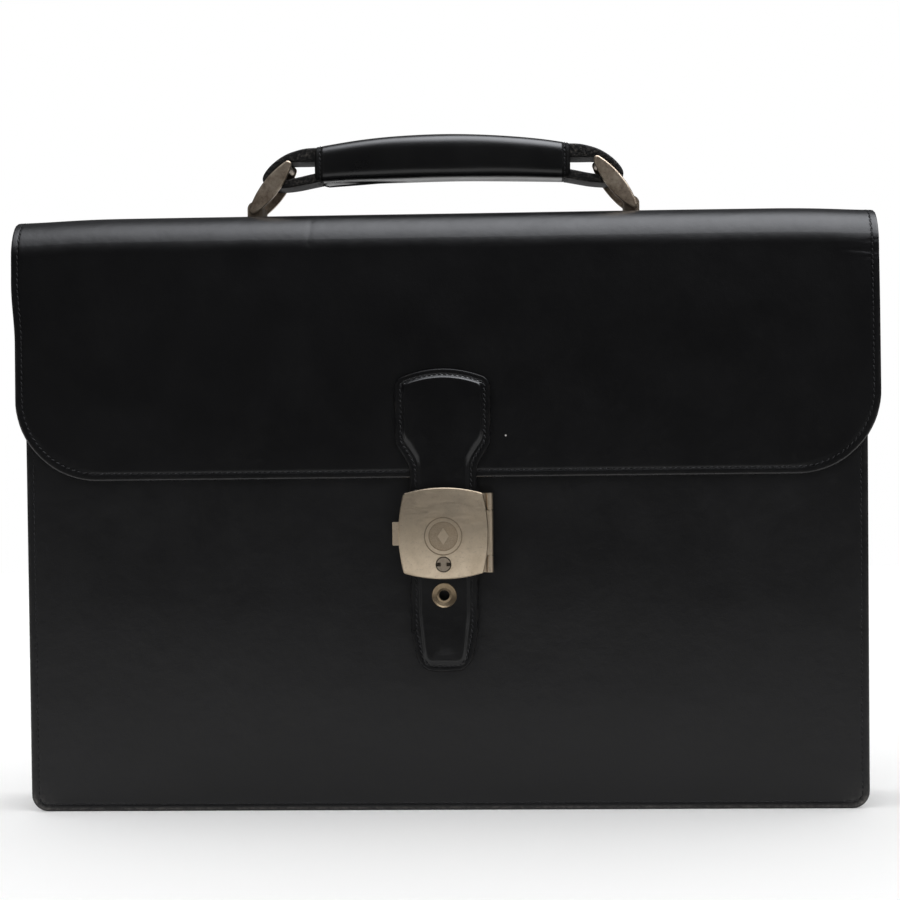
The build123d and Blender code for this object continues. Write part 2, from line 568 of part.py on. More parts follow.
def make_links():
    """Each link is two lens-shaped cheeks joined by an upper and a lower pin."""
    nodes = {}
    tip, bow, tip_r = LINK / 2 + LINK_END, 4.1, 1.8
    arcs = [ThreePointArc((-tip, 0), (0, side * bow), (tip, 0)) for side in (-1, 1)]
    lens = make_face(arcs)
    lens = fillet(lens.vertices(), tip_r)
    x_up, z_up = pin_place()
    middle = ((LUG_X + x_up) / 2, (LUG_Z + z_up) / 2)
    angle = math.degrees(math.atan2(z_up - LUG_Z, x_up - LUG_X))
    blind = 1.5
    for side, s in (("left", -1), ("right", 1)):
        shapes = {}
        for face, t in (("front", -1), ("rear", 1)):
            y = sorted((HANDLE_Y + t * CHEEK_INNER, HANDLE_Y + t * (CHEEK_INNER + CHEEK)))
            cheek = slab(Pos(*middle) * Rot(0, 0, angle) * lens, *y)
            outer = cheek.faces().sort_by(Axis.Y)[0 if t == -1 else -1]
            cheek = fillet(outer.edges(), 0.9)
            for x, z in ((LUG_X, LUG_Z), (x_up, z_up)):
                end = HANDLE_Y + t * (CHEEK_INNER + blind)
                cheek -= rod(LINK_PIN_R, (x, HANDLE_Y + t * (CHEEK_INNER - 1), z), (x, end, z))
            shapes[f"link_{side}_{face}_cheek"] = cheek
        reach = CHEEK_INNER + blind
        for name, x, z in (("lower", LUG_X, LUG_Z), ("upper", x_up, z_up)):
            ends = (x, HANDLE_Y - reach, z), (x, HANDLE_Y + reach, z)
            shapes[f"link_{side}_{name}_pin"] = rod(LINK_PIN_R, *ends)
        for name, shape in shapes.items():
            nodes[name] = shape if s == 1 else mirror(shape, Plane.YZ)
    return nodes


def band_outline(nose, middle_top, middle_foot):
    """One closed outline of the handle strap. nose runs round the right-hand loop from top to foot."""
    mirror_nose = [(-x, z) for x, z in nose]
    top, foot = nose[0], nose[-1]
    return make_face([
        Spline(*nose),
        ThreePointArc(foot, (0, middle_foot), mirror_nose[-1]),
        Spline(*reversed(mirror_nose)),
        ThreePointArc(mirror_nose[0], (0, middle_top), top),
    ])


def handle_ring():
    """Side view of the handle strap, a closed band through the grip that turns back round each pin."""
    outer = [(62, 313.4), (65.2, 313.3), (69.9, 312.3), (74.1, 310.9), (77.8, 308.9), (81.4, 306.2),
             (84.0, 303.5), (85.7, 301.0), (86.3, 298.8), (85.5, 296.5), (82.8, 294.9), (79.0, 294.3),
             (74.5, 294.5), (69.5, 295.1), (64.8, 296.0), (62, 296.5)]
    inner = [(62, 306.9), (66, 306.8), (71, 306.8), (75.5, 306.5), (78.6, 304.8), (81.0, 302.2),
             (82.5, 299.9), (82.6, 298.6), (81.2, 298.0), (78.0, 298.1), (73.5, 298.7), (68.5, 299.6),
             (65, 300.4), (62, 301.1)]
    return band_outline(outer, 318.2, 300.3) - band_outline(inner, 312.6, 305.6)


def grip_section(x, top, bottom, half_width, shrink):
    """Rounded section of the grip at X x. shrink is how far it lies inside the outer surface."""
    tall, wide = top - bottom - 2 * shrink, 2 * (half_width - shrink)
    place = Plane(origin=(x, HANDLE_Y, (top + bottom) / 2), x_dir=(0, 1, 0), z_dir=(1, 0, 0))
    return place * RectangleRounded(wide, tall, min(tall, wide) * 0.42)


def grip_body(shrink):
    """The grip as a solid, arched and a little thicker in its middle."""
    ends = (314.2, 296.4, 11.2)
    middle = (319.2, 299.3, 12.2)
    sections = [grip_section(-GRIP_HALF, *ends, shrink), grip_section(0, *middle, shrink),
                grip_section(GRIP_HALF, *ends, shrink)]
    return loft(sections)


def make_handle():
    """Rolled handle: a leather wrap over a core, on the strap ring."""
    ring = slab(handle_ring(), HANDLE_Y - STRAP_HALF, HANDLE_Y + STRAP_HALF)
    cavity = grip_body(GRIP_WRAP)
    inside = box(-GRIP_HALF, GRIP_HALF, HANDLE_Y - 20, HANDLE_Y + 20, 280, 330)
    strap = (ring & cavity) + (ring - inside)
    wrap = grip_body(0) - cavity
    core = cavity - ring
    return {"handle_strap": strap, "grip_wrap": wrap, "grip_core": core}


def main():
    """Builds every node and writes it."""
    nodes = {}
    for maker in (make_front_panel, make_back_panel, make_gussets, make_divider, make_pocket, make_stud_plate,
                  make_spine, make_lugs, make_links, make_handle, make_flap, make_strap, make_eyelets,
                  make_clasp_base, make_clasp_cover, make_release_tab, make_key_cylinder):
        nodes.update(maker())
    for name, shape in nodes.items():
        save(name, shape)
        print(name, len(shape.solids()))
    print(len(nodes), "nodes")


main()
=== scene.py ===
"""A slim black leather briefcase: fold-over flap, strap with a satin nickel clasp, rolled handle.

Lengths are millimetres up to mesh_object(), which turns them into metres. X is to the right, Y to the
back, Z up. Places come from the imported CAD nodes. All leather is remodelled here; the metal parts are
the CAD's own.
"""

import json
import math

import bpy
import numpy as np
from mathutils import Matrix, Vector


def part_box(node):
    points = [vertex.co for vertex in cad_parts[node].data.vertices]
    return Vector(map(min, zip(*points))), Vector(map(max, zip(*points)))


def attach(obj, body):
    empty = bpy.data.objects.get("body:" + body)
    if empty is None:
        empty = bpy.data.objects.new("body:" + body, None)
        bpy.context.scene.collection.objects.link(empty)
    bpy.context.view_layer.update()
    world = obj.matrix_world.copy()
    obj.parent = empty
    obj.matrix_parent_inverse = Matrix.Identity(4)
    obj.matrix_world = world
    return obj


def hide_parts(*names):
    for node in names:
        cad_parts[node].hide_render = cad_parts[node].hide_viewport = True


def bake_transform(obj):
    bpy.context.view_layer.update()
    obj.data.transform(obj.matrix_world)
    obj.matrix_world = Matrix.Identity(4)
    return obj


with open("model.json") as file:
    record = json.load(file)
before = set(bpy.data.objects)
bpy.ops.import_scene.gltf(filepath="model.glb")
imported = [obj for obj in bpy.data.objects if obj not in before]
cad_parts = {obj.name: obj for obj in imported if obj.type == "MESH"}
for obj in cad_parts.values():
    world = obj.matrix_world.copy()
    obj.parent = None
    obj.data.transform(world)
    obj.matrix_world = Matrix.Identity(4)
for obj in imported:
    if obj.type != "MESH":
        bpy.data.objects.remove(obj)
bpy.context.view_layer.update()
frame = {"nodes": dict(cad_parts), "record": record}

MM = 0.001
rng = np.random.default_rng(11)


def low(node):
    """Lowest corner of a CAD node, in millimetres."""
    return np.array(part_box(node)[0]) / MM


def high(node):
    """Highest corner of a CAD node, in millimetres."""
    return np.array(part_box(node)[1]) / MM


# ---- places, all from the CAD nodes ----
FLAP_OUT = low("flap_leather")[1]
FLAP_FOOT = low("flap_leather")[2]
FLAP_HALF = high("flap_leather")[0]
TOP = high("spine_leather")[2]
FRONT = low("front_panel")[1]
BACK = high("back_panel")[1]
PANEL_TOP = high("front_panel")[2]
PANEL_HALF_TOP = high("front_panel")[0]
PANEL_HALF_FOOT = PANEL_HALF_TOP - 2.0     # the panels taper a little towards the foot
Y_MID = (FRONT + BACK) / 2
HANDLE_Y = (low("grip_wrap")[1] + high("grip_wrap")[1]) / 2
STRAP_BACK = high("strap_liner")[1]
PAD_RISE = 1.6                             # padded middle of the strap, above its sewn margin
STRAP_FACE = low("closure_strap")[1] + PAD_RISE
EMBLEM_Z = (low("clasp_cover")[2] + high("clasp_cover")[2]) / 2 - 1.3
KEY_Z = (low("key_cylinder")[2] + high("key_cylinder")[2]) / 2

# ---- leather sizes ----
FOLD = 18.0               # outside of the two top folds, a little softer than in the CAD
FOLD_Z = TOP - FOLD
LEATHER = 2.0             # panel leather
FLAP_THICK = 3.0          # flap leather with its lining
GUSSET = 1.6              # gusset leather
MARGIN = 7.0              # sewn margin outside the gusset
FLAP_CORNER = 39.0        # lower corners of the flap
PANEL_CORNER = 8.0        # lower corners of the panels
STITCH_IN = 3.3           # stitch lines, from the edge
STRAP_STITCH_IN = 2.7
EDGE_ROUND = 0.75         # worked edges
EDGE_STEPS = [0, 0.1, 0.25, 0.45, 0.7, 1.0, 1.4, 1.9, 2.4, 2.8, 3.1, 3.35, 3.6, 3.9, 4.4, 5.2, 6.5, 8.5]
WAVE_FREE = 25.0          # a skin is flat at its edge and has its full waves this far in
SEAM_FLAT = 8.0           # waves end this far past a fold, towards the seam along the top


# ---- materials ----
class Nodes:
    """A small helper for building a material's nodes."""

    def __init__(self, name):
        self.material = bpy.data.materials.new(name)
        self.material.use_nodes = True
        self.tree = self.material.node_tree
        self.shader = self.tree.nodes["Principled BSDF"]

    def add(self, kind, inputs=(), **settings):
        """Adds one node. inputs maps a socket name or number to a value or to another node's output."""
        node = self.tree.nodes.new(kind)
        for key, value in settings.items():
            setattr(node, key, value)
        for key, value in dict(inputs).items():
            self.set(node.inputs[key], value)
        return node

    def set(self, socket, value):
        """Links an output to a socket, or sets its value."""
        if isinstance(value, bpy.types.NodeSocket):
            self.tree.links.new(value, socket)
        else:
            socket.default_value = value

    def place(self):
        """Object coordinates, in metres."""
        return self.add("ShaderNodeTexCoord").outputs["Object"]

    def noise(self, scale, detail=4.0, rough=0.55, stretch=(1, 1, 1)):
        """Fractal noise from 0 to 1, with its scale per metre."""
        vector = self.add("ShaderNodeMapping", {"Vector": self.place(), "Scale": stretch}).outputs[0]
        return self.add("ShaderNodeTexNoise", {"Vector": vector, "Scale": scale, "Detail": detail,
                                               "Roughness": rough}).outputs["Fac"]

    def cells(self, scale):
        """Distance field of small soft cells."""
        inputs = {"Vector": self.place(), "Scale": scale, "Smoothness": 0.4}
        return self.add("ShaderNodeTexVoronoi", inputs, feature="SMOOTH_F1").outputs["Distance"]

    def remap(self, value, a, b, c, d):
        """value from a..b to c..d, held at the ends."""
        return self.add("ShaderNodeMapRange", {0: value, 1: a, 2: b, 3: c, 4: d}).outputs[0]

    def math(self, kind, a, b=0.0):
        """One arithmetic step."""
        return self.add("ShaderNodeMath", {0: a, 1: b}, operation=kind).outputs[0]

    def mix(self, share, a, b):
        """Colour a where share is 0 and b where it is 1."""
        node = self.add("ShaderNodeMix", {0: share}, data_type="RGBA")
        self.set(node.inputs[6], a)
        self.set(node.inputs[7], b)
        return node.outputs[2]

    def offsets(self, centre):
        """Millimetres from a centre (X, Z), and how far that is."""
        middle = (centre[0] * MM, 0.0, centre[1] * MM)
        moved = self.add("ShaderNodeVectorMath", {0: self.place(), 1: middle}, operation="SUBTRACT")
        parts = self.add("ShaderNodeSeparateXYZ", {0: moved.outputs[0]})
        x, z = (self.math("MULTIPLY", parts.outputs[k], 1 / MM) for k in (0, 2))
        squares = self.math("ADD", self.math("MULTIPLY", x, x), self.math("MULTIPLY", z, z))
        return self.math("ABSOLUTE", x), self.math("ABSOLUTE", z), self.math("SQRT", squares)

    def under(self, value, limit, soft=0.12):
        """1 where value is under a limit."""
        return self.remap(value, limit - soft, limit + soft, 1.0, 0.0)

    def bump(self, height, strength, distance, normal=None):
        """Bump from a height field. distance is in metres."""
        inputs = {"Height": height, "Strength": strength, "Distance": distance}
        if normal is not None:
            inputs["Normal"] = normal
        return self.add("ShaderNodeBump", inputs).outputs[0]

    def finish(self, **sockets):
        """Sets the shader's sockets and gives the material."""
        for key, value in sockets.items():
            self.set(self.shader.inputs[key.replace("_", " ")], value)
        return self.material


def rgb(r, g, b):
    """An opaque colour, in linear light."""
    return (r, g, b, 1.0)


def leather(name, dark, light, rough, grain=0.10, shine=0.45, wear=True, dents=0.16, scuff=None):
    """Smooth box calf: fine pores, soft mottling, faint rubbing marks, and lighter worn places.

    A wear of 1 is dull and greyish; from 1 to 2 the colour is rubbed through. scuff is one small bare
    spot, as (X, Z).
    """
    n = Nodes(name)
    n.shader.inputs["Specular IOR Level"].default_value = shine
    mottle = n.noise(14, 3.0)
    cloudy = n.noise(55, 5.0)
    pores = n.cells(1900)
    rub = n.noise(260, 6.0, 0.7)
    colour = n.mix(n.remap(mottle, 0.35, 0.7, 0, 1), rgb(*dark), rgb(*light))
    colour = n.mix(n.remap(pores, 0.0, 0.35, 0.35, 0.0), colour, rgb(*[c * 0.4 for c in dark]))
    roughness = n.remap(cloudy, 0.3, 0.7, *rough)
    roughness = n.math("ADD", roughness, n.remap(rub, 0.5, 0.75, 0.0, 0.05))
    if wear:
        worn = n.add("ShaderNodeAttribute", attribute_name="wear").outputs["Fac"]
        patchy = n.math("MULTIPLY", worn, n.remap(n.noise(420, 5.0, 0.7), 0.42, 0.62, 0.15, 1.0))
        colour = n.mix(patchy, colour, rgb(0.085, 0.078, 0.072))
        through = n.math("MULTIPLY", n.remap(worn, 1.0, 2.0, 0.0, 1.0), n.remap(rub, 0.40, 0.60, 0.2, 1.0))
        colour = n.mix(through, colour, rgb(0.34, 0.32, 0.30))
        roughness = n.math("SUBTRACT", roughness, n.math("MULTIPLY", worn, 0.08))
    if scuff is not None:
        away = n.offsets(scuff)[2]
        colour = n.mix(n.under(away, 0.3, 0.28), colour, rgb(0.52, 0.50, 0.48))
    fine = n.bump(pores, grain, 0.0002)
    soft = n.bump(n.noise(90, 3.0), dents, 0.0012, fine)
    return n.finish(Base_Color=colour, Roughness=roughness, Normal=soft)


def edge_paint(name, shine):
    """Painted and burnished leather edge."""
    n = Nodes(name)
    n.shader.inputs["Specular IOR Level"].default_value = shine
    patch = n.remap(n.noise(300, 5.0), 0.45, 0.75, 0, 1)
    colour = n.mix(patch, rgb(0.004, 0.004, 0.0045), rgb(0.012, 0.011, 0.010))
    bump = n.bump(n.noise(500, 4.0), 0.25, 0.0002)
    return n.finish(Base_Color=colour, Roughness=n.remap(n.noise(200), 0.3, 0.7, 0.2, 0.36), Normal=bump)


def raw_edge():
    """Rubbed edges of the handle's loops, where the paint has cracked."""
    n = Nodes("rubbed_edge")
    patch = n.noise(700, 6.0, 0.7, (1, 0.4, 1))
    n.shader.inputs["Specular IOR Level"].default_value = 0.15
    colour = n.mix(n.remap(patch, 0.50, 0.70, 0, 1), rgb(0.003, 0.003, 0.003), rgb(0.045, 0.040, 0.035))
    bump = n.bump(patch, 0.6, 0.0006)
    return n.finish(Base_Color=colour, Roughness=n.remap(patch, 0.3, 0.7, 0.4, 0.62), Normal=bump)


def thread():
    """Waxed linen thread."""
    n = Nodes("thread")
    twist = n.noise(2600, 2.0, 0.5, (1, 1, 0.5))
    colour = n.mix(twist, rgb(0.004, 0.004, 0.0045), rgb(0.012, 0.012, 0.013))
    n.shader.inputs["Specular IOR Level"].default_value = 0.25
    return n.finish(Base_Color=colour, Roughness=0.6, Normal=n.bump(twist, 0.5, 0.0002))


def suede(name, a, b):
    """Napped lining leather."""
    n = Nodes(name)
    nap = n.noise(1500, 5.0, 0.7)
    colour = n.mix(n.remap(n.noise(30, 5.0), 0.3, 0.7, 0, 1), rgb(*a), rgb(*b))
    colour = n.mix(n.remap(nap, 0.4, 0.7, 0, 0.35), colour, rgb(*[c * 0.5 for c in a]))
    n.shader.inputs["Sheen Weight"].default_value = 0.35
    n.shader.inputs["Sheen Roughness"].default_value = 0.5
    return n.finish(Base_Color=colour, Roughness=0.85, Normal=n.bump(nap, 0.5, 0.0004))


def metal(name, clean, dull, rough, brushed, spots, sunk=None, sunk_tone=0.5, upper=0.0, right_shade=0.0):
    """Satin plated metal: fine brushing, and tarnish in soft patches.

    sunk(nodes) marks darker, matt recesses: painted shade, partly tarnish in the clasp's dish. upper darkens
    the faces that look up and the next argument those that look to the right: painted shade on the top bevel
    and along the hinge.
    """
    n = Nodes(name)
    patch = n.noise(130, 6.0, 0.65)
    fleck = n.noise(900, 5.0, 0.7)
    lines = n.noise(70, 4.0, 0.6, brushed)
    colour = n.mix(n.remap(patch, 0.38, 0.66, 0.0, spots), rgb(*clean), rgb(*dull))
    colour = n.mix(n.remap(fleck, 0.55, 0.75, 0.0, spots * 0.7), colour, rgb(*[c * 0.55 for c in dull]))
    roughness = n.math("ADD", n.remap(lines, 0.3, 0.7, *rough), n.remap(patch, 0.4, 0.7, 0.0, 0.08))
    if sunk is not None:
        mask = n.math("MULTIPLY", sunk(n), n.remap(n.noise(2200, 3.0, 0.6), 0.35, 0.6, 0.65, 1.0))
        browner = [c * sunk_tone * tint for c, tint in zip(dull, (1.0, 0.92, 0.86))]
        colour = n.mix(mask, colour, rgb(*browner))
        roughness = n.math("ADD", roughness, n.math("MULTIPLY", mask, 0.1))
    # Painted shade: the faces that look up and those that look to the right are darkened, each by its own
    # amount.
    for axis, strength, start in ((2, upper, 0.25), (0, right_shade, 0.4)):
        if strength:
            normal = n.add("ShaderNodeTexCoord").outputs["Normal"]
            facing = n.add("ShaderNodeSeparateXYZ", {0: normal}).outputs[axis]
            painted_shade = n.remap(facing, start, start + 0.35, 0.0, strength)
            colour = n.mix(painted_shade, colour, rgb(*[c * 0.25 for c in dull]))
    return n.finish(Base_Color=colour, Metallic=1.0, Roughness=roughness, Normal=n.bump(lines, 0.12, 0.00006))


def emblem(n):
    """The engraved ring and the dish round the raised lozenge, darkened: tarnish and painted shade in the
    dish, painted shade in the lines.
    """
    x, z, away = n.offsets((0.0, EMBLEM_Z))

    def between(inside, outside):
        return n.math("MULTIPLY", n.under(away, outside), n.math("SUBTRACT", 1.0, n.under(away, inside)))

    lozenge = n.math("ADD", n.math("DIVIDE", x, 2.6), n.math("DIVIDE", z, 4.0))
    dish = n.math("MULTIPLY", n.under(away, 6.6), n.math("SUBTRACT", 1.0, n.under(lozenge, 1.0, 0.05)))
    lines = n.math("MAXIMUM", between(6.35, 6.8), between(8.35, 8.85))
    return n.math("MAXIMUM", n.math("MULTIPLY", dish, 0.7), lines)


def key_pocket_shade(n):
    """The two pockets in the key cylinder's face and the ring round its edge: painted shade, almost black."""
    x, z, away = n.offsets((0.0, KEY_Z))
    slot = n.math("MULTIPLY", n.under(z, 0.85), n.math("SUBTRACT", 1.0, n.under(x, 1.35)))
    return n.math("MAXIMUM", slot, n.math("SUBTRACT", 1.0, n.under(away, 3.15)))


def cork():
    """Pressed board and cork, only seen if the case is cut open."""
    n = Nodes("filler")
    grain = n.noise(500, 5.0, 0.7)
    colour = n.mix(n.remap(grain, 0.35, 0.65, 0, 1), rgb(0.42, 0.30, 0.19), rgb(0.20, 0.13, 0.08))
    return n.finish(Base_Color=colour, Roughness=0.8, Normal=n.bump(grain, 0.5, 0.0004))


CALF = leather("calf", (0.0012, 0.0012, 0.0015), (0.0019, 0.0019, 0.0023), (0.33, 0.38), shine=0.28,
               scuff=(29.2, 174.3))
# A lighter, shinier copy of the flap's calf for the panels and gusset: its lighter colour is painted light,
# standing in for the floor light that the lower panels reflect.
CALF_BODY = leather("calf_body", (0.0020, 0.0020, 0.0024), (0.0030, 0.0030, 0.0035), (0.33, 0.38),
                    shine=0.355)
CALF_STRAP = leather("calf_strap", (0.0011, 0.0011, 0.0014), (0.0018, 0.0018, 0.0022), (0.27, 0.32),
                     shine=0.38)
CALF_GRIP = leather("calf_grip", (0.0012, 0.0012, 0.0014), (0.0022, 0.0022, 0.0024), (0.27, 0.33),
                    grain=0.06, dents=0.05)
CALF_LOOP = leather("calf_loop", (0.0016, 0.0016, 0.0016), (0.0036, 0.0035, 0.0034), (0.55, 0.70),
                    grain=0.14, shine=0.12)
INNER = leather("lining_leather", (0.012, 0.011, 0.010), (0.020, 0.018, 0.017), (0.5, 0.62), grain=0.15,
                wear=False)
EDGE = edge_paint("edge_paint", 0.45)
STRAP_EDGE = edge_paint("strap_edge_paint", 0.10)
RUBBED = raw_edge()
THREAD = thread()
SUEDE = suede("suede_lining", (0.115, 0.070, 0.042), (0.165, 0.105, 0.065))
ALONG_X, EVEN, ALONG_Z = (1, 60, 60), (30, 30, 30), (30, 30, 12)     # brushing: finer across the lines
NICKEL = metal("satin_nickel", (0.68, 0.565, 0.43), (0.50, 0.40, 0.29), (0.30, 0.42), ALONG_X, 0.75)
# The hinge and the cover carry painted shade on their faces that look to the right, the cover also on those
# that look up.
HINGE = metal("hinge_nickel", (0.68, 0.565, 0.43), (0.50, 0.40, 0.29), (0.30, 0.42), ALONG_X, 0.75,
              right_shade=0.75)
COVER = metal("cover_nickel", (0.69, 0.575, 0.435), (0.52, 0.42, 0.30), (0.30, 0.42), ALONG_X, 0.75,
              sunk=emblem, upper=0.8, right_shade=0.75)
# The key's pockets and edge are painted almost black by the low sunk tone: painted shade in the pockets and
# round the cylinder.
KEY = metal("key_nickel", (0.46, 0.39, 0.31), (0.32, 0.26, 0.20), (0.34, 0.44), EVEN, 0.6,
            sunk=key_pocket_shade, sunk_tone=0.06)
OLD_NICKEL = metal("antique_nickel", (0.50, 0.42, 0.33), (0.17, 0.125, 0.09), (0.34, 0.48), ALONG_Z, 1.0)
BRASS = metal("dull_brass", (0.265, 0.205, 0.135), (0.145, 0.105, 0.062), (0.30, 0.42), (20, 20, 20), 0.6)
FILLER = cork()


# ---- meshes ----
def mesh_object(name, verts, faces, materials, face_material=None, wear=None):
    """A smooth mesh from millimetre points."""
    mesh = bpy.data.meshes.new(name)
    mesh.from_pydata((np.asarray(verts, float) * MM).tolist(), [], faces)
    for material in materials:
        mesh.materials.append(material)
    mesh.polygons.foreach_set("use_smooth", [True] * len(faces))
    if face_material is not None:
        mesh.polygons.foreach_set("material_index", face_material)
    if wear is not None:
        worn = mesh.attributes.new("wear", "FLOAT", "POINT")
        worn.data.foreach_set("value", np.asarray(wear, np.float32))
    mesh.update()
    made = bpy.data.objects.new(name, mesh)
    bpy.context.scene.collection.objects.link(made)
    return made


def smooth(value):
    """Smoothstep of a value held to 0..1."""
    t = np.clip(value, 0, 1)
    return t * t * (3 - 2 * t)


def tube_faces(rings, around, turned=False):
    """Quads of a tube whose points are listed ring by ring. turned reverses each quad."""
    faces = []
    for i in range(rings - 1):
        for k in range(around):
            j = (k + 1) % around
            quad = (i * around + k, i * around + j, (i + 1) * around + j, (i + 1) * around + k)
            faces.append(quad[::-1] if turned else quad)
    return faces


def levels(length, pitch, end=False, steps=EDGE_STEPS):
    """Row positions from 0 to length, close together at the start, and at the end if it is worked too."""
    head = list(steps)
    tail = [length - s for s in reversed(steps)] if end else [length]
    count = max(2, int((tail[0] - head[-1]) / pitch))
    return np.array(head + list(np.linspace(head[-1], tail[0], count + 1)[1:-1]) + tail)


def across(halves, pitch, steps=EDGE_STEPS, near=()):
    """Points across each row of a shape that mirrors about X 0, closer at its sides and near some X."""
    steps = np.array(steps)
    halves = np.asarray(halves)[:, None]
    count = max(3, int(2 * (halves.max() - steps[-1]) / pitch))
    inner = np.linspace(-1, 1, count)[1:-1]
    inner = np.union1d(inner, np.asarray(near) / (halves.max() - steps[-1]))[None, :]
    left = -halves + steps[None, :]
    return np.concatenate([left, inner * (halves - steps[-1]), -left[:, ::-1]], axis=1)


def grid(rows, halves, pitch, steps=EDGE_STEPS, near=()):
    """x and s of every point of a sheet, from its row levels and its half width at each of them."""
    x = across(halves, pitch, steps, near)
    return x, np.repeat(rows[:, None], x.shape[1], 1)


def distance_to(points, line):
    """Distance from each point to an open polyline, in the flat."""
    shape = points.shape[:-1]
    flat = points.reshape(-1, 1, 2)
    best = np.full(len(flat), 1e9)
    a, b = line[:-1], line[1:]
    d = b - a
    length2 = np.maximum((d * d).sum(1), 1e-12)
    for start in range(0, len(flat), 4000):
        p = flat[start:start + 4000]
        t = np.clip(((p - a) * d).sum(2) / length2, 0, 1)
        near = a + t[..., None] * d
        best[start:start + 4000] = np.sqrt(((p - near) ** 2).sum(2)).min(1)
    return best.reshape(shape)


def edge_fall(distance, radius=EDGE_ROUND):
    """How far a rounded edge falls back from the face, at a distance from the outline."""
    reach = np.clip(radius - distance, 0, radius)
    return radius - np.sqrt(np.maximum(radius**2 - reach**2, 0))


def stitch_groove(distance, inset=STITCH_IN, depth=0.22, width=0.5):
    """The shallow channel that a row of stitches pulls down."""
    return depth * np.exp(-(((distance - inset) / width) ** 2))


def ripple(x, s, amount, seed, length=130.0):
    """Slow unevenness of a leather panel."""
    r = np.random.default_rng(seed)
    total = np.zeros_like(x)
    for _ in range(7):
        angle, wave, phase = r.uniform(0, math.pi), length * r.uniform(0.4, 1.5), r.uniform(0, 2 * math.pi)
        total = total + np.sin(2 * math.pi * (x * math.cos(angle) + s * math.sin(angle)) / wave + phase)
    return amount * total / 7**0.5


def sheet_faces(rows, columns):
    """Faces of a closed sheet made of an outer grid, then an inner grid, joined round their border."""
    index = np.arange(rows * columns).reshape(rows, columns)
    a, b, c, d = index[:-1, :-1], index[:-1, 1:], index[1:, 1:], index[1:, :-1]
    outer = np.stack([a, b, c, d], -1).reshape(-1, 4)
    back = np.stack([a, d, c, b], -1).reshape(-1, 4) + rows * columns
    border = np.concatenate([index[0, :-1], index[:-1, -1], index[-1, :0:-1], index[:0:-1, 0]])
    following = np.roll(border, -1)
    far = rows * columns
    rim = np.stack([following, border, border + far, following + far], -1)
    return outer, back, rim


def sheet(name, x, s, place, thickness, distance, relief, materials, wear=None, joined=False):
    """A closed sheet of leather. place(x, s, depth) gives a point at a depth below the outer face.

    joined keeps the end of the last row square and flat, where the next piece carries on.
    """
    outer_depth = edge_fall(distance) + relief
    inner_depth = thickness - edge_fall(distance, 0.5)
    outer, inner = place(x, s, outer_depth), place(x, s, inner_depth + np.minimum(relief, 0.0))
    faces_out, faces_in, rim = sheet_faces(*x.shape)
    verts = np.concatenate([outer.reshape(-1, 3), inner.reshape(-1, 3)])
    near = distance.reshape(-1)
    edge = near[faces_out].mean(1) < 0.6
    materials_of = np.concatenate([np.where(edge, 1, 0), np.where(edge, 1, 2), np.full(len(rim), 1)])
    worn = None if wear is None else np.concatenate([wear.reshape(-1), wear.reshape(-1) * 0])
    faces = np.concatenate([faces_out, faces_in, rim])
    a, b, c = (verts[faces_out[len(faces_out) // 2, k]] for k in (0, 1, 2))
    if np.cross(b - a, c - a) @ (a - verts[x.size + faces_out[len(faces_out) // 2, 0]]) < 0:
        faces = faces[:, ::-1]
    made = mesh_object(name, verts, faces.tolist(), materials, materials_of.astype(int), worn)
    if joined:
        row_end = len(faces_out) * 2 + x.shape[1] - 1 + x.shape[0] - 1
        for polygon in made.data.polygons[row_end:row_end + x.shape[1] - 1]:
            polygon.use_smooth = False
    return made


def capsule():
    """One stitch, lying along X, 1 long, 1 wide and 1 high, with its faces as index tuples."""
    around = 6
    rings = [(-0.44, 0.55), (-0.25, 0.95), (0.25, 0.95), (0.44, 0.55)]
    turns = [2 * math.pi * k / around for k in range(around)]
    verts = [(x, 0.5 * r * math.cos(a), 0.5 * r * math.sin(a)) for x, r in rings for a in turns]
    faces = tube_faces(len(rings), around)
    near, far, last = len(verts), len(verts) + 1, (len(rings) - 1) * around
    for k in range(around):
        j = (k + 1) % around
        faces += [(near, j, k), (far, last + k, last + j)]
    return np.array(verts + [(-0.5, 0.0, 0.0), (0.5, 0.0, 0.0)]), faces


def stitches(name, lines, pitch=2.7, length=2.05, width=0.62, height=0.55, slant=14.0):
    """Rows of single stitches. lines is a list of (points, normals) along the leather."""
    shape, quads = capsule()
    verts, faces = [], []
    for points, normals in lines:
        steps = np.linalg.norm(np.diff(points, axis=0), axis=1)
        run = np.concatenate([[0], np.cumsum(steps)])
        count = max(1, int(run[-1] / pitch))
        for at in (np.arange(count) + 0.5) * run[-1] / count:
            centre = np.array([np.interp(at, run, points[:, k]) for k in range(3)])
            ahead = np.array([np.interp(min(at + 0.6, run[-1]), run, points[:, k]) for k in range(3)])
            behind = np.array([np.interp(max(at - 0.6, 0), run, points[:, k]) for k in range(3)])
            up = np.array([np.interp(at, run, normals[:, k]) for k in range(3)])
            up /= np.linalg.norm(up)
            along = ahead - behind
            along -= up * (along @ up)
            along /= np.linalg.norm(along)
            side = np.cross(up, along)
            turn = math.radians(slant + rng.normal(0, 3.5))
            along, side = (along * math.cos(turn) + side * math.sin(turn),
                           side * math.cos(turn) - along * math.sin(turn))
            size = length * (1 + rng.normal(0, 0.05))
            body = (shape[:, :1] * size * along + shape[:, 1:2] * width * side + shape[:, 2:] * height * up)
            base = len(shape) * len(verts)
            faces += [tuple(base + k for k in face) for face in quads]
            verts.append(centre - up * 0.02 + body)
    return mesh_object(name, np.concatenate(verts), faces, [THREAD])


def on_sheet(flat, place, depth=0.0):
    """Points and outward normals along a flat line laid on a sheet."""
    x, s = flat[:, 0], flat[:, 1]
    points = place(x, s, np.full(len(x), depth))
    above = place(x, s, np.full(len(x), depth - 1.0))
    return points, above - points


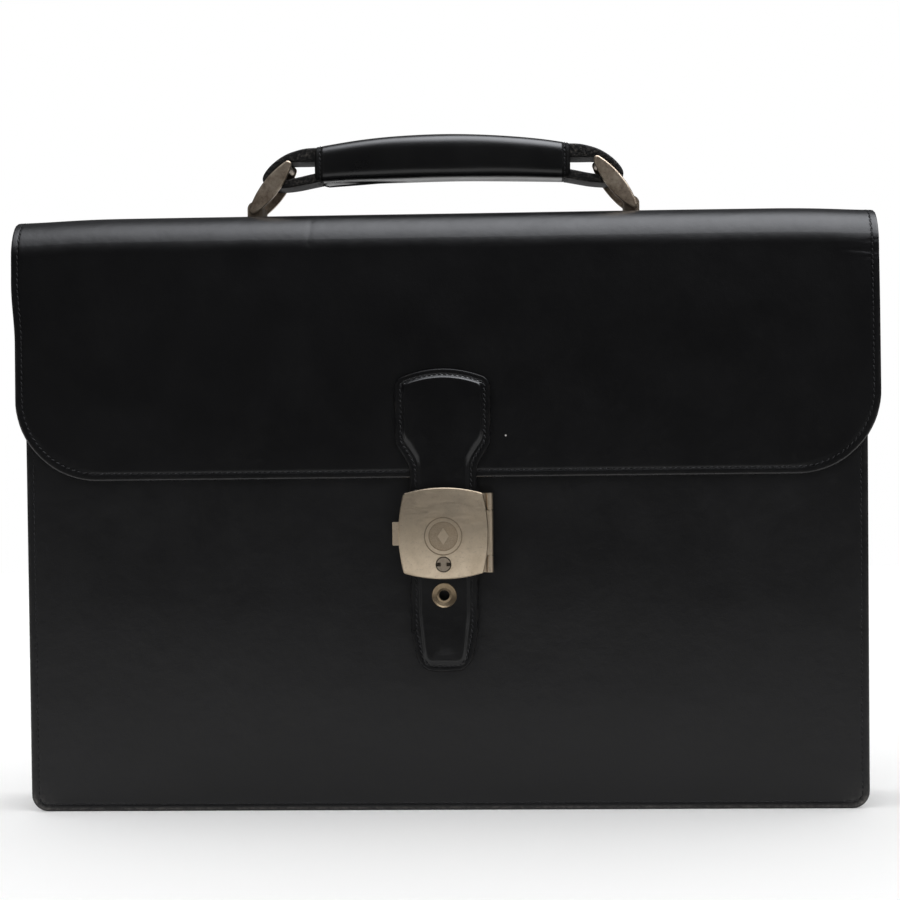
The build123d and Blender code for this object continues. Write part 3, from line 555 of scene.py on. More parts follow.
def rounded(half, corner, top, inset=0.0, foot_half=None):
    """Flat line down the left side of a panel, round its lower corners and up its right side."""
    foot_half = half if foot_half is None else foot_half
    low_half = foot_half - inset
    r = max(corner - inset, 0.5)
    angles = np.linspace(math.pi, 1.5 * math.pi, 14)
    left = np.stack([-low_half + r + r * np.cos(angles), inset + r + r * np.sin(angles)], 1)
    side = np.array([[-(half - inset), top]])
    line = np.concatenate([side, left])
    return np.concatenate([line, line[::-1] * [-1, 1]])


def dense(line, step=2.0):
    """A polyline with points at most step apart."""
    out = [line[:1]]
    for a, b in zip(line[:-1], line[1:]):
        count = max(1, int(math.ceil(np.linalg.norm(b - a) / step)))
        out.append(a + (b - a) * np.linspace(0, 1, count + 1)[1:, None])
    return np.concatenate(out)


def corner_half(level, half_at, corner):
    """Half width of a panel with rounded lower corners, at a height above its foot."""
    level = np.asarray(level, float)
    cut = np.clip(corner - level, 0, corner)
    return half_at - corner + np.sqrt(np.maximum(corner**2 - cut**2, 0))


# ---- the one leather skin: front leaf, top and back ----
END_SAG = 1.4             # how far the unsupported ends of the top sag,
SAG_FROM = 150.0          # from this far out


def end_droop(x, z):
    """How far a point of the top and its folds is moved up; always 0 or less."""
    return -END_SAG * smooth((np.abs(x) - SAG_FROM) / 55) ** 1.5 * smooth((z - 215) / 60)


def bent(y, z, ny, nz, x, depth):
    """Points at a depth below the skin's section (y, z), against its outward normal, with the ends' sag."""
    points = np.stack([x, y - ny * depth, z - nz * depth], -1)
    points[..., 2] += end_droop(x, points[..., 2])
    return points


LEAF = FOLD_Z - FLAP_FOOT
ARC = FOLD * math.pi / 2


def uneven_sides(x, s):
    """The worn flap spreads a little to the right, and its left side draws in towards the foot."""
    on_top = 1 - smooth((s - LEAF - 0.7 * ARC) / (0.3 * ARC))
    left = 1.7 * smooth((LEAF - 12 - s) / 30) - 0.8
    return on_top * np.where(x > 0, 0.7 * smooth(x / 200), left * smooth(-x / 200))


def place_front(x, s, depth):
    """Front half of the skin. s runs up from the flap's foot, over the front fold and along the top."""
    x = x + uneven_sides(x, s)
    turn = np.clip((s - LEAF) / FOLD, 0, math.pi / 2)
    y = FLAP_OUT + FOLD - FOLD * np.cos(turn) + np.maximum(s - LEAF - ARC, 0)
    z = FLAP_FOOT + np.minimum(s, LEAF) + FOLD * np.sin(turn)
    return bent(y, z, -np.cos(turn), np.sin(turn), x, depth)


def place_back(x, s, depth):
    """Rear half of the skin. s runs up the back panel, over the rear fold and along the top."""
    turn = np.clip((s - FOLD_Z) / FOLD, 0, math.pi / 2)
    y = BACK - FOLD + FOLD * np.cos(turn) - np.maximum(s - FOLD_Z - ARC, 0)
    z = np.minimum(s, FOLD_Z) + FOLD * np.sin(turn)
    return bent(y, z, np.cos(turn), np.sin(turn), x, depth)


TOP_HALF = (BACK - FLAP_OUT) / 2 - FOLD


def creases(x, s, marks):
    """Small creases. Each mark is (x, s, x, s, depth, width)."""
    total = np.zeros_like(x)
    for x0, s0, x1, s1, depth, width in marks:
        line = np.array([[x0, s0], [x1, s1]], float)
        d = distance_to(np.stack([x, s], -1), line)
        total = total + depth * np.exp(-((d / width) ** 2))
    return total


# each crease is (x, s, x, s, depth, width): three at the right end of the fold, one over its left part
CREASES = [(190, LEAF - 2.8, 203, LEAF - 4.2, 0.20, 0.7), (196, LEAF - 6.5, 203, LEAF - 5.6, 0.12, 0.7),
           (196, LEAF + 1.5, 203, LEAF + 2.6, 0.10, 0.8), (-62, LEAF + 3, -61, LEAF + 21, 0.10, 1.3)]
CREASED_ROWS = np.arange(LEAF - 12, LEAF + 6, 0.5)
CREASED_COLUMNS = np.arange(-67.0, -56.0, 0.8)


def skin_front():
    """Flap leaf, front fold and front half of the top, with the flap's leather lining."""
    length = LEAF + ARC + TOP_HALF
    rows = np.union1d(levels(length, 3.0), CREASED_ROWS)
    x, s = grid(rows, corner_half(rows, FLAP_HALF, FLAP_CORNER), 3.6, near=CREASED_COLUMNS)
    line = rounded(FLAP_HALF, FLAP_CORNER, length + 50)
    distance = distance_to(np.stack([x, s], -1), line)
    quiet = smooth(distance / WAVE_FREE) * (1 - smooth((s - LEAF - ARC) / SEAM_FLAT))
    waves = ripple(x, s, 0.07, 3) * quiet - 0.10 * quiet
    pulled = stitch_groove(distance) * (1 - 0.65 * smooth((s - LEAF) / 8))
    past_lining = smooth((s - LEAF - 0.3 * ARC) / (0.6 * ARC))
    drawn_in = 0.9 * smooth((s - LEAF + 34) / 40) * (1 - past_lining)
    relief = pulled + waves + creases(x, s, CREASES) + drawn_in
    thick = FLAP_THICK - (FLAP_THICK - LEATHER) * past_lining
    wear = 0.30 * np.exp(-((distance / 0.8) ** 2)) * smooth((LEAF - s) / 40)
    made = sheet("flap_and_top_skin", x, s, place_front, thick, distance, relief, [CALF, EDGE, INNER],
                 wear, joined=True)
    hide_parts("flap_leather", "flap_lining", "spine_leather")
    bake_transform(made)
    path = dense(rounded(FLAP_HALF, FLAP_CORNER, length, STITCH_IN))
    sewn = stitches("flap_stitches", [on_sheet(path, place_front, 0.12)])
    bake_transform(sewn)


def back_half(z):
    """Half width of the back panel, which is wider at its top."""
    return PANEL_HALF_FOOT + (FLAP_HALF - PANEL_HALF_FOOT) * np.clip(z / FOLD_Z, 0, 1)


def skin_back():
    """Back panel, rear fold and rear half of the top."""
    length = FOLD_Z + ARC + TOP_HALF
    rows = levels(length, 4.0)
    x, s = grid(rows, corner_half(rows, back_half(rows), PANEL_CORNER), 4.5)
    line = rounded(FLAP_HALF, PANEL_CORNER, FOLD_Z, 0, PANEL_HALF_FOOT)
    line = np.concatenate([[[-FLAP_HALF, length + 50]], line, [[FLAP_HALF, length + 50]]])
    distance = distance_to(np.stack([x, s], -1), line)
    quiet = smooth(distance / WAVE_FREE) * (1 - smooth((s - FOLD_Z - ARC) / SEAM_FLAT))
    relief = stitch_groove(distance) + ripple(x, s, 0.12, 8) * quiet
    corner = np.hypot(np.abs(x) - PANEL_HALF_FOOT, s)
    wear = np.clip(0.9 * np.exp(-((corner / 9) ** 2)) + 0.35 * np.exp(-((distance / 0.8) ** 2)), 0, 1)
    made = sheet("back_skin", x, s, place_back, LEATHER + 0 * x, distance, relief,
                 [CALF_BODY, EDGE, INNER], wear, joined=True)
    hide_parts("back_panel")
    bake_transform(made)
    path = rounded(FLAP_HALF, PANEL_CORNER, FOLD_Z, STITCH_IN, PANEL_HALF_FOOT)
    side = FLAP_HALF - STITCH_IN
    path = dense(np.concatenate([[[-side, length]], path, [[side, length]]]))
    sewn = stitches("back_stitches", [on_sheet(path, place_back, 0.12)])
    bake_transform(sewn)


PANEL_SWELL = 0.9         # how far the front panel swells below the flap,
SWELL_HALF = 196.0        # over this half width


def place_panel(x, s, depth):
    """Front panel. It swells a little below the flap."""
    swell = PANEL_SWELL * smooth(s / 60) * (1 - smooth((s - 85) / 60))
    swell = swell * np.clip(1 - (np.abs(x) / SWELL_HALF) ** 4, 0, 1)
    return np.stack([x, FRONT + depth - swell, s], -1)


def front_panel():
    """The front panel under the flap, sewn all round."""
    rows = levels(PANEL_TOP, 3.6, end=True)
    halves = PANEL_HALF_FOOT + (PANEL_HALF_TOP - PANEL_HALF_FOOT) * rows / PANEL_TOP
    x, s = grid(rows, corner_half(rows, halves, PANEL_CORNER), 4.0)
    line = rounded(PANEL_HALF_TOP, PANEL_CORNER, PANEL_TOP, 0, PANEL_HALF_FOOT)
    line = np.concatenate([line, line[:1]])
    distance = distance_to(np.stack([x, s], -1), line)
    below = 1 - smooth((s - 135) / 15)
    relief = stitch_groove(distance) + ripple(x, s, 0.14, 21) * smooth(distance / 22) * below
    corner = np.hypot(np.abs(x) - PANEL_HALF_FOOT, s)
    wear = np.clip(0.5 * np.exp(-((corner / 8) ** 2)) + 0.4 * np.exp(-((distance / 0.9) ** 2)), 0, 1)
    # The rim line paints a thin light arc 1.3 mm in from the edge, round the lower corners and along the
    # foot: partly rubbed-through leather, partly a painted highlight of the edge's glint.
    rim = np.exp(-(((distance - 1.3) / 0.5) ** 2))
    rubbed = 1.1 * np.exp(-((corner / 5.5) ** 2)) + 0.5 * smooth((4 - s) / 3)
    wear = wear * (1 - 0.5 * edge_fall(distance)) + rim * rubbed
    made = sheet("front_skin", x, s, place_panel, LEATHER + 0 * x, distance, relief,
                 [CALF_BODY, EDGE, INNER], wear)
    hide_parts("front_panel")
    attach(made, "case")
    path = rounded(PANEL_HALF_TOP, PANEL_CORNER, PANEL_TOP - STITCH_IN, STITCH_IN, PANEL_HALF_FOOT)
    path = dense(np.concatenate([path, path[:1]]))
    sewn = stitches("front_stitches", [on_sheet(path, place_panel, 0.12)])
    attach(sewn, "case")


# ---- gusset ----
PLEAT_DEEP = (1.0, 20.0)  # how deep the side pleat is at its foot and at its top
WEB_CORNER = 4.0          # lower corners of the web
FLANGE_BEND = 1.9         # bend between the web and its sewn edges


def gusset_path():
    """The gusset's web from its top left end, down, across the bottom and up.

    Each station is its point (X, Z), the direction that faces outwards and how deep the pleat is there.
    """
    z_low, z_high, corner = MARGIN, PANEL_TOP - 4, WEB_CORNER
    shallow, deep = PLEAT_DEEP
    half = PANEL_HALF_FOOT - MARGIN
    points, turns, pleats = [], [], []

    def pleat(z):
        return shallow + (deep - shallow) * np.clip((z - 9) / (z_high - 9), 0, 1)

    for z in np.linspace(z_high, z_low + corner + 1.6, 56):
        widen = (PANEL_HALF_TOP - PANEL_HALF_FOOT) * z / PANEL_TOP
        points.append((-half - widen, z))
        turns.append(math.pi)
        pleats.append(pleat(z))
    for a in np.linspace(math.pi, 1.5 * math.pi, 9)[1:-1]:
        points.append((-half + corner + corner * math.cos(a), z_low + corner + corner * math.sin(a)))
        turns.append(a)
        pleats.append(shallow * (1.5 * math.pi - a) / (0.5 * math.pi))
    flat = half - corner
    for x in np.linspace(-flat, 0, 24):
        points.append((x, z_low))
        turns.append(1.5 * math.pi)
        pleats.append(0.0)
    left = list(zip(points, turns, pleats))
    right = [((-p[0], p[1]), 3 * math.pi - t, d) for p, t, d in reversed(left[:-1])]
    return left + right


def gusset_section(pleat):
    """Outer line of the gusset from above: (outward, y) from flange tip to flange tip."""
    y0, y1 = FRONT + LEATHER + 0.02, BACK - LEATHER - 0.02
    tip, bend = MARGIN - 0.5, FLANGE_BEND
    start = [(tip, y0), (tip * 0.6, y0), (bend, y0)]
    for a in np.linspace(0, math.pi / 2, 6)[1:]:
        start.append((bend - bend * math.sin(a), y0 + bend - bend * math.cos(a)))
    web = []
    for v in np.linspace(0, 1, 15)[1:-1]:
        y = y0 + bend + (y1 - y0 - 2 * bend) * v
        ramp = 1 - abs(2 * v - 1)
        soft = 1 - math.sqrt((1 - ramp) ** 2 + 0.006)
        if ramp < 0.5:
            soft = math.sqrt(ramp**2 + 0.004) - math.sqrt(0.004)
        web.append((-pleat * max(soft, 0.0), y))
    end = [(o, y0 + y1 - y) for o, y in reversed(start)]
    return np.array(start + web + end)


def offset_line(line, amount):
    """A line moved sideways by amount, to the left of its direction."""
    ahead = np.gradient(line, axis=0)
    ahead /= np.linalg.norm(ahead, axis=1)[:, None]
    return line + amount * np.stack([-ahead[:, 1], ahead[:, 0]], 1)


def gusset():
    """Pleated gusset round both sides and the bottom, with its edges turned out and sewn to the panels."""
    verts, stations = [], gusset_path()
    for (px, pz), turn, pleat in stations:
        outer = gusset_section(pleat)
        inner = offset_line(outer, GUSSET)
        inner[0, 0] = outer[0, 0]
        inner[-1, 0] = outer[-1, 0]
        loop = np.concatenate([outer, inner[::-1]])
        ox, oz = math.cos(turn), math.sin(turn)
        verts.append(np.stack([px + loop[:, 0] * ox, loop[:, 1], pz + loop[:, 0] * oz], 1))
    count = len(verts[0])
    faces = tube_faces(len(verts), count)
    half = count // 2
    for base, flip in ((0, False), ((len(verts) - 1) * count, True)):
        for k in range(half - 1):
            quad = (base + k, base + count - 1 - k, base + count - 2 - k, base + k + 1)
            faces.append(quad[::-1] if flip else quad)
    made = mesh_object("gusset_skin", np.concatenate(verts), faces, [CALF_BODY])
    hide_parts("gusset_left", "gusset_right", "gusset_bottom")
    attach(made, "case")


# ---- inside ----
LINING_STEPS = [0, 0.12, 0.3, 0.6, 1.0, 1.6, 2.4, 3.2, 4.0, 5.5, 8.0]
LINING_PITCH = 6.0
BOARD_REACH = 0.8         # linings stop this far short of the boards' sides
DIVIDER_HALF_TOP = 166.9  # the divider widens with the case, up to its top
POCKET_THICK = 1.6


def flat_sheet(name, nodes, half_foot, half_top, z0, z1, corner, y_face, thick, face, seed, waves=0.25,
               materials=(SUEDE, SUEDE, SUEDE), sewn_top=False):
    """A plain upright sheet inside the case. face is 1 when its worked side looks to the back."""
    height = z1 - z0
    rows = levels(height, LINING_PITCH, True, LINING_STEPS)
    halves = half_foot + (half_top - half_foot) * rows / height
    x, s = grid(rows, corner_half(rows, halves, corner), LINING_PITCH, LINING_STEPS)
    line = rounded(half_top, corner, height, 0, half_foot)
    line = np.concatenate([line, line[:1]])
    distance = distance_to(np.stack([x, s], -1), line)
    relief = ripple(x, s, waves, seed, 90) * smooth(distance / 15)

    def place(px, ps, depth):
        return np.stack([px, y_face - face * depth, z0 + ps], -1)

    made = sheet(name, x, s, place, thick + 0 * x, distance, np.maximum(relief, -0.3), materials)
    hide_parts(*nodes)
    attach(made, "case")
    if sewn_top:
        path = dense(np.array([[-half_top + 4, height - 3.0], [half_top - 4, height - 3.0]]))
        sewn = stitches(name + "_stitches", [on_sheet(path, place, 0.1)])
        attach(sewn, "case")


def linings():
    """Cloth linings of the front and the back, over their boards."""
    inset = PANEL_HALF_FOOT - high("front_board")[0] + BOARD_REACH
    half = PANEL_HALF_FOOT - inset
    thick = high("front_lining")[1] - (FRONT + LEATHER)
    flat_sheet("front_lining_skin", ["front_board", "front_lining"], half, half + 1.5, inset, PANEL_TOP - 2,
               3, FRONT + LEATHER + thick, thick, 1, 31)
    flat_sheet("back_lining_skin", ["back_board", "back_lining"], half, half + 1.5, inset, FOLD_Z - 4,
               3, BACK - LEATHER - thick, thick, -1, 32)


def divider_and_pocket():
    """The leather wall between the compartments, and the flat pocket on the inside of the back."""
    thick = high("divider_rear_skin")[1] - low("divider_front_skin")[1]
    half, foot, top = high("divider_board")[0], low("divider_board")[2], high("divider_board")[2]
    leathers = (INNER, EDGE, INNER)
    flat_sheet("divider_skin", ["divider_board", "divider_front_skin", "divider_rear_skin"], half,
               DIVIDER_HALF_TOP, foot, top, 2.5, Y_MID - thick / 2, thick, -1, 33, 0.12,
               leathers, True)
    a, b = low("slip_pocket"), high("slip_pocket")
    flat_sheet("slip_pocket_skin", ["slip_pocket"], b[0], b[0], a[2], b[2], 10, a[1], POCKET_THICK, -1, 34,
               0.2, leathers, True)


def floor_lining():
    """Lining and board on the case's floor."""
    a, b = low("bottom_board"), high("bottom_lining")
    steps = [0, 0.3, 0.8, 1.6, 3.0, 6.0]
    rows = levels(b[1] - a[1], 6, True, steps)
    x, s = grid(rows, np.full(len(rows), b[0]), 8, steps)
    distance = np.minimum(np.minimum(s, rows[-1] - s), b[0] - np.abs(x))

    def place(px, ps, depth):
        return np.stack([px, a[1] + ps, b[2] - depth], -1)

    base = sheet("floor_lining_skin", x, s, place, b[2] - a[2] + 0 * x, distance,
                 ripple(x, s, 0.1, 35, 70), [SUEDE, SUEDE, SUEDE])
    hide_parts("bottom_board", "bottom_lining")
    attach(base, "case")


LUG_RECESS = (7.5, 13.6, 2.6)     # half size in X and Y, and depth, of the lining's raised places


def spine_lining():
    """Leather lining under the top's bar, which covers the feet of the handle's lugs."""
    a, b = low("spine_lining"), high("spine_lining")
    steps = [0, 0.15, 0.4, 0.8, 1.4, 2.2, 3.0, 3.6, 4.5, 6.0]
    rows = levels(b[1] - a[1], 2.5, True, steps)
    x, s = grid(rows, np.full(len(rows), b[0]), 3.5, steps)
    distance = np.minimum(np.minimum(s, rows[-1] - s), b[0] - np.abs(x))
    lug = (low("lug_right")[0] + high("lug_right")[0]) / 2
    half_x, half_y, deep = LUG_RECESS
    near = np.maximum(np.abs(np.abs(x) - lug) - half_x, np.abs(s - rows[-1] / 2) - half_y)
    drop = deep * (1 - smooth(near / 3.0))

    def place(px, ps, depth):
        return np.stack([px, a[1] + ps, a[2] + depth], -1)

    relief = stitch_groove(distance, 3.0, 0.15) - drop
    outer_depth = edge_fall(distance, 0.4) + relief
    inner_depth = (b[2] - a[2]) - 0.05 - drop
    faces_out, faces_in, rim = sheet_faces(*x.shape)
    verts = np.concatenate([place(x, s, outer_depth).reshape(-1, 3), place(x, s, inner_depth).reshape(-1, 3)])
    faces = [f[::-1] for f in np.concatenate([faces_out, faces_in, rim]).tolist()]
    made = mesh_object("spine_lining_skin", verts, faces, [INNER])
    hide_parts("spine_lining")
    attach(made, "spine")


# ---- closure strap ----
# sides as (Z, half width), from the foot to the head
STRAP_SIDE = np.array([(66.2, 11.8), (84.0, 15.6), (160.5, 15.6), (171.0, 22.2), (200.6, 22.2)])
PAD_SIDE = np.array([(68.9, 8.8), (92.0, 11.2), (163.5, 11.2), (174.0, 18.2), (198.6, 18.2)])
TIP_DEEP, HEAD_HIGH, PAD_HIGH = 1.2, 5.1, 3.6      # how far the strap's ends and the pad's head bow out
TIP_CORNER, HEAD_CORNER = 5.5, 3.5
TIP_CURL, TIP_CURL_Z = 0.052, 94.5                 # slope of the strap's outward curl, and where it starts
STRAP_HOLE = 3.02                                  # round the eyelets
STRAP_STEPS = [0, 0.1, 0.25, 0.45, 0.7, 1.0, 1.3, 1.6, 1.9, 2.2, 2.5, 2.8, 3.1, 3.4, 3.7, 4.0, 4.3, 4.6,
               4.9, 5.2, 5.6, 6.1]


def taper_half(level, side, low_corner, high_corner):
    """Half width at each level of an outline given by its side points, with its corners rounded."""
    spread = np.linspace(-2.4, 2.4, 9)
    level = np.asarray(level, float)
    first, last = side[0, 0], side[-1, 0]
    steep = (side[1, 1] - side[0, 1]) / (side[1, 0] - side[0, 0])
    table = np.concatenate([[(first - 10, side[0, 1] - 10 * steep)], side, [(last + 10, side[-1, 1])]])
    half = np.interp(level[:, None] + spread, table[:, 0], table[:, 1]).mean(1)
    for corner, rise in ((low_corner, level - first), (high_corner, last - level)):
        cut = np.clip(corner - rise, 0, corner)
        half = half - corner + np.sqrt(np.maximum(corner**2 - cut**2, 0))
    return half


def taper_rise(x, level, side, deep, high):
    """How far a level line of the outline bows down near the foot and up near the head."""
    first, last = side[0, 0], side[-1, 0]
    foot = deep * (1 - np.minimum((x / side[0, 1]) ** 2, 1)) * (1 - smooth((level - first) / 30))
    head = high * (1 - np.minimum((x / side[-1, 1]) ** 2, 1)) * smooth((level - last + 36) / 36)
    return head - foot


def taper_outline(side, corners, bows):
    """The whole outline as a closed flat line that runs anticlockwise from its foot on the right."""
    count = 60
    first, last = side[0, 0], side[-1, 0]
    level = np.concatenate([first + 6 * np.linspace(0, 1, 25) ** 2, np.linspace(first + 6.5, last - 6.5, 120),
                            last - 6 * np.linspace(1, 0, 25) ** 2])
    half = taper_half(level, side, *corners)
    right = np.stack([half, level + taper_rise(half, level, side, *bows)], 1)
    x = np.linspace(half[-1], -half[-1], count)
    head = np.stack([x, last + taper_rise(x, np.full(count, last), side, *bows)], 1)
    x = np.linspace(-half[0], half[0], count)
    foot = np.stack([x, first + taper_rise(x, np.full(count, first), side, *bows)], 1)
    return np.concatenate([right, head[1:], (right * [-1, 1])[::-1][1:], foot[1:]])


def inset_line(line, amount):
    """A closed line moved inwards, without the loops this makes at its corners."""
    line = dense(line, 0.4)
    moved = offset_line(line, amount)
    kept = moved[distance_to(moved, line) > amount - 0.1]
    return np.concatenate([kept, kept[:1]])


def closure_strap():
    """Closure strap with a sewn margin, a raised padded middle and two eyelet holes."""
    corners, bows = (TIP_CORNER, HEAD_CORNER), (TIP_DEEP, HEAD_HIGH)
    first, last = STRAP_SIDE[0, 0], STRAP_SIDE[-1, 0]
    rows = first + levels(last - first, 1.3, True, STRAP_STEPS)
    x, level = grid(rows, taper_half(rows, STRAP_SIDE, *corners), 1.2, STRAP_STEPS)
    z = level + taper_rise(x, level, STRAP_SIDE, *bows)
    flat = np.stack([x, z], -1)
    outline = taper_outline(STRAP_SIDE, corners, bows)
    distance = distance_to(flat, outline)
    pad_line = taper_outline(PAD_SIDE, (3.0, 2.0), (0.0, PAD_HIGH))
    pad_half = np.interp(z, PAD_SIDE[:, 0], PAD_SIDE[:, 1])
    pad_head = PAD_SIDE[-1, 0] + PAD_HIGH * (1 - np.minimum((x / PAD_SIDE[-1, 1]) ** 2, 1))
    within = (np.abs(x) < pad_half) & (z > PAD_SIDE[0, 0]) & (z < pad_head)
    depth_in = distance_to(flat, pad_line) * np.where(within, 1, -1)
    slope = 0.85 + 0.75 * (1 - smooth((z - 68) / 9))
    rise = (PAD_RISE - 0.25) * smooth(0.5 + depth_in / (2 * slope)) + 0.25 * smooth((depth_in - 1) / 8)
    relief = stitch_groove(distance, STRAP_STITCH_IN, 0.2, 0.42) - rise

    def place(px, ps, depth):
        lift = TIP_CURL * (np.hypot(TIP_CURL_Z - ps, 5.0) + TIP_CURL_Z - ps) / 2
        return np.stack([px, STRAP_FACE + depth - lift, ps], -1)

    made = sheet("closure_strap_skin", x, z, place, (STRAP_BACK - STRAP_FACE) + 0 * x, distance, relief,
                 [CALF_STRAP, STRAP_EDGE, INNER], 0.04 * np.exp(-((distance / 0.8) ** 2)))
    cut_holes(made, ("eyelet_upper", "eyelet_lower"), STRAP_HOLE)
    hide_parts("closure_strap", "strap_liner", "strap_filler")
    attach(made, "flap")
    path = inset_line(outline, STRAP_STITCH_IN)
    sewn = stitches("strap_stitches", [on_sheet(path, place, 0.06)], 2.4, 2.15, 0.7, 0.6, 26.0)
    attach(sewn, "flap")


def cut_holes(piece, nodes, radius):
    """Cuts a round hole along Y through piece at each CAD node's middle."""
    for node in nodes:
        middle = (low(node) + high(node)) / 2 * MM
        bpy.ops.mesh.primitive_cylinder_add(vertices=48, radius=radius * MM, depth=0.03, location=middle,
                                            rotation=(math.pi / 2, 0, 0))
        tool = bpy.context.object
        step = piece.modifiers.new("hole", "BOOLEAN")
        step.operation, step.solver, step.object = "DIFFERENCE", "EXACT", tool
        bpy.context.view_layer.objects.active = piece
        piece.select_set(True)
        bpy.ops.object.modifier_apply(modifier="hole")
        bpy.data.objects.remove(tool)


# ---- handle ----
GRIP_HALF = high("grip_wrap")[0]
GRIP_END = (314.2, 296.8, 11.2)           # top, foot and half width of the grip at its ends
GRIP_MID = (319.6, 298.1, 12.2)           # the same at its middle
BAND = 4.2                                # end bands of the grip
BAND_STITCH_IN = 2.6                      # their stitches, from the grip's end
SEAM_STRIP = (3.0, 44.0)                  # loose strip, from the grip's left end
SEAM_SAG, SEAM_RADIUS = 1.15, 0.46        # how far it hangs down, and its half thickness


def grip_at(x):
    """Top, foot and half width of the grip at x."""
    share = (x / GRIP_HALF) ** 2
    return [m + (e - m) * share for e, m in zip(GRIP_END, GRIP_MID)]


def grip_point(x, angle, out=0.0):
    """Point on the grip's rounded section. The angle is 0 at the back and 90 degrees at the top."""
    top, foot, wide = grip_at(x)
    tall, middle = (top - foot) / 2, (top + foot) / 2
    c, s = math.cos(angle), math.sin(angle)
    power = 2 / (3.8 if s > 0 else 4.3)
    y = (wide + out) * abs(c) ** power * (1 if c > 0 else -1)
    z = (tall + out) * abs(s) ** power * (1 if s > 0 else -1)
    if s < 0:
        z -= 0.4 * math.exp(-((y / 1.1) ** 2))
    return np.array([x, HANDLE_Y + y, middle + z])


def grip():
    """Leather rolled round the core and sewn into a low seam along its underside."""
    inner_x = np.linspace(-GRIP_HALF + 5.2, GRIP_HALF - 5.2, 61)
    ends = np.array([0.0, 0.15, 0.5, 1.0, 1.5, 2.0, 2.4, 2.8, 3.2, 3.6, 4.0, 4.5])
    xs = np.concatenate([-GRIP_HALF + ends, inner_x, (GRIP_HALF - ends)[::-1]])
    angles = np.concatenate([np.linspace(-0.5 * math.pi - 0.16, -0.5 * math.pi + 0.16, 15),
                             np.linspace(-0.5 * math.pi + 0.24, 1.5 * math.pi - 0.24, 74)])
    verts = []
    for x in xs:
        d = GRIP_HALF - abs(x)
        fall = 1.6 * (1 - math.sqrt(max(0.0, 1 - (max(0.0, 1.2 - d) / 1.2) ** 2)))
        groove = 0.35 * math.exp(-(((d - BAND_STITCH_IN) / 0.6) ** 2))
        swell = 0.06 * math.exp(-(((d - 1.2) / 0.7) ** 2))
        for a in angles:
            wave = 0.07 * math.sin(x / 13.0 + 2 * a) + 0.03 * math.sin(x / 7.0 - 3 * a)
            verts.append(grip_point(x, a, swell - fall - groove + wave * min(1, d / 12)))
    count = len(angles)
    faces = tube_faces(len(xs), count)
    for base, direction in ((0, 1), ((len(xs) - 1) * count, -1)):
        ring = list(range(base, base + count))
        middle = len(verts)
        verts.append(np.mean([verts[i] for i in ring], 0))
        for k in range(count):
            tri = (ring[k], middle, ring[(k + 1) % count])
            faces.append(tri if direction > 0 else tri[::-1])
    across_x = np.array([np.mean([verts[i][0] for i in face]) for face in faces])
    bands = (GRIP_HALF - np.abs(across_x) < BAND).astype(int)
    made = mesh_object("grip_skin", verts, faces, [CALF_GRIP, CALF_LOOP], bands)
    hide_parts("grip_wrap", "grip_core")
    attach(made, "handle")
    lines = []
    for end in (-1, 1):
        x = end * (GRIP_HALF - BAND_STITCH_IN)
        turns = np.linspace(-0.5 * math.pi + 0.2, 1.5 * math.pi - 0.2, 80)
        ring, out = (np.array([grip_point(x, a, height) for a in turns]) for height in (-0.25, 0.75))
        lines.append((ring, out - ring))
    sewn = stitches("grip_end_stitches", lines, 2.1, 1.8, 0.8, 0.7, 8.0)
    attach(sewn, "handle")
    loose_seam()


def loose_seam():
    """The worn end of the seam's edge strip, which hangs a little below the left of the grip."""
    along = np.linspace(-GRIP_HALF + SEAM_STRIP[0], -GRIP_HALF + SEAM_STRIP[1], 40)
    share = (along - along[0]) / (along[-1] - along[0])
    feet = np.array([grip_at(x)[1] for x in along]) - 0.2
    sag = SEAM_SAG * np.minimum((share + 0.01) / 0.09, (1 - share) ** 1.2)
    centre = np.stack([along, np.full(40, HANDLE_Y - 0.2), feet - sag], 1)
    around = 8
    verts = []
    for point, t in zip(centre, share):
        r = SEAM_RADIUS * (0.55 + 0.45 * math.sin(math.pi * min(1.0, t * 1.2 + 0.08)))
        for a in np.linspace(0, 2 * math.pi, around, endpoint=False):
            verts.append(point + np.array([0, 2.0 * r * math.cos(a), r * math.sin(a)]))
    faces = tube_faces(len(centre), around)
    faces.append(tuple(range(around))[::-1])
    faces.append(tuple(range((len(centre) - 1) * around, len(centre) * around)))
    made = mesh_object("grip_seam_strip", verts, faces, [THREAD])
    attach(made, "handle")


def through(points, count):
    """A smooth curve through points, by Catmull-Rom pieces, resampled evenly."""
    p = np.array(points, float)
    ext = np.concatenate([[2 * p[0] - p[1]], p, [2 * p[-1] - p[-2]]])
    out = []
    for i in range(len(p) - 1):
        a, b, c, d = ext[i:i + 4]
        for t in np.linspace(0, 1, 12, endpoint=False):
            out.append(0.5 * ((2 * b) + (c - a) * t + (2 * a - 5 * b + 4 * c - d) * t**2
                              + (3 * b - a - 3 * c + d) * t**3))
    out.append(p[-1])
    out = np.array(out)
    run = np.concatenate([[0], np.cumsum(np.linalg.norm(np.diff(out, axis=0), axis=1))])
    at = np.linspace(0, run[-1], count)
    return np.stack([np.interp(at, run, out[:, 0]), np.interp(at, run, out[:, 1])], 1)


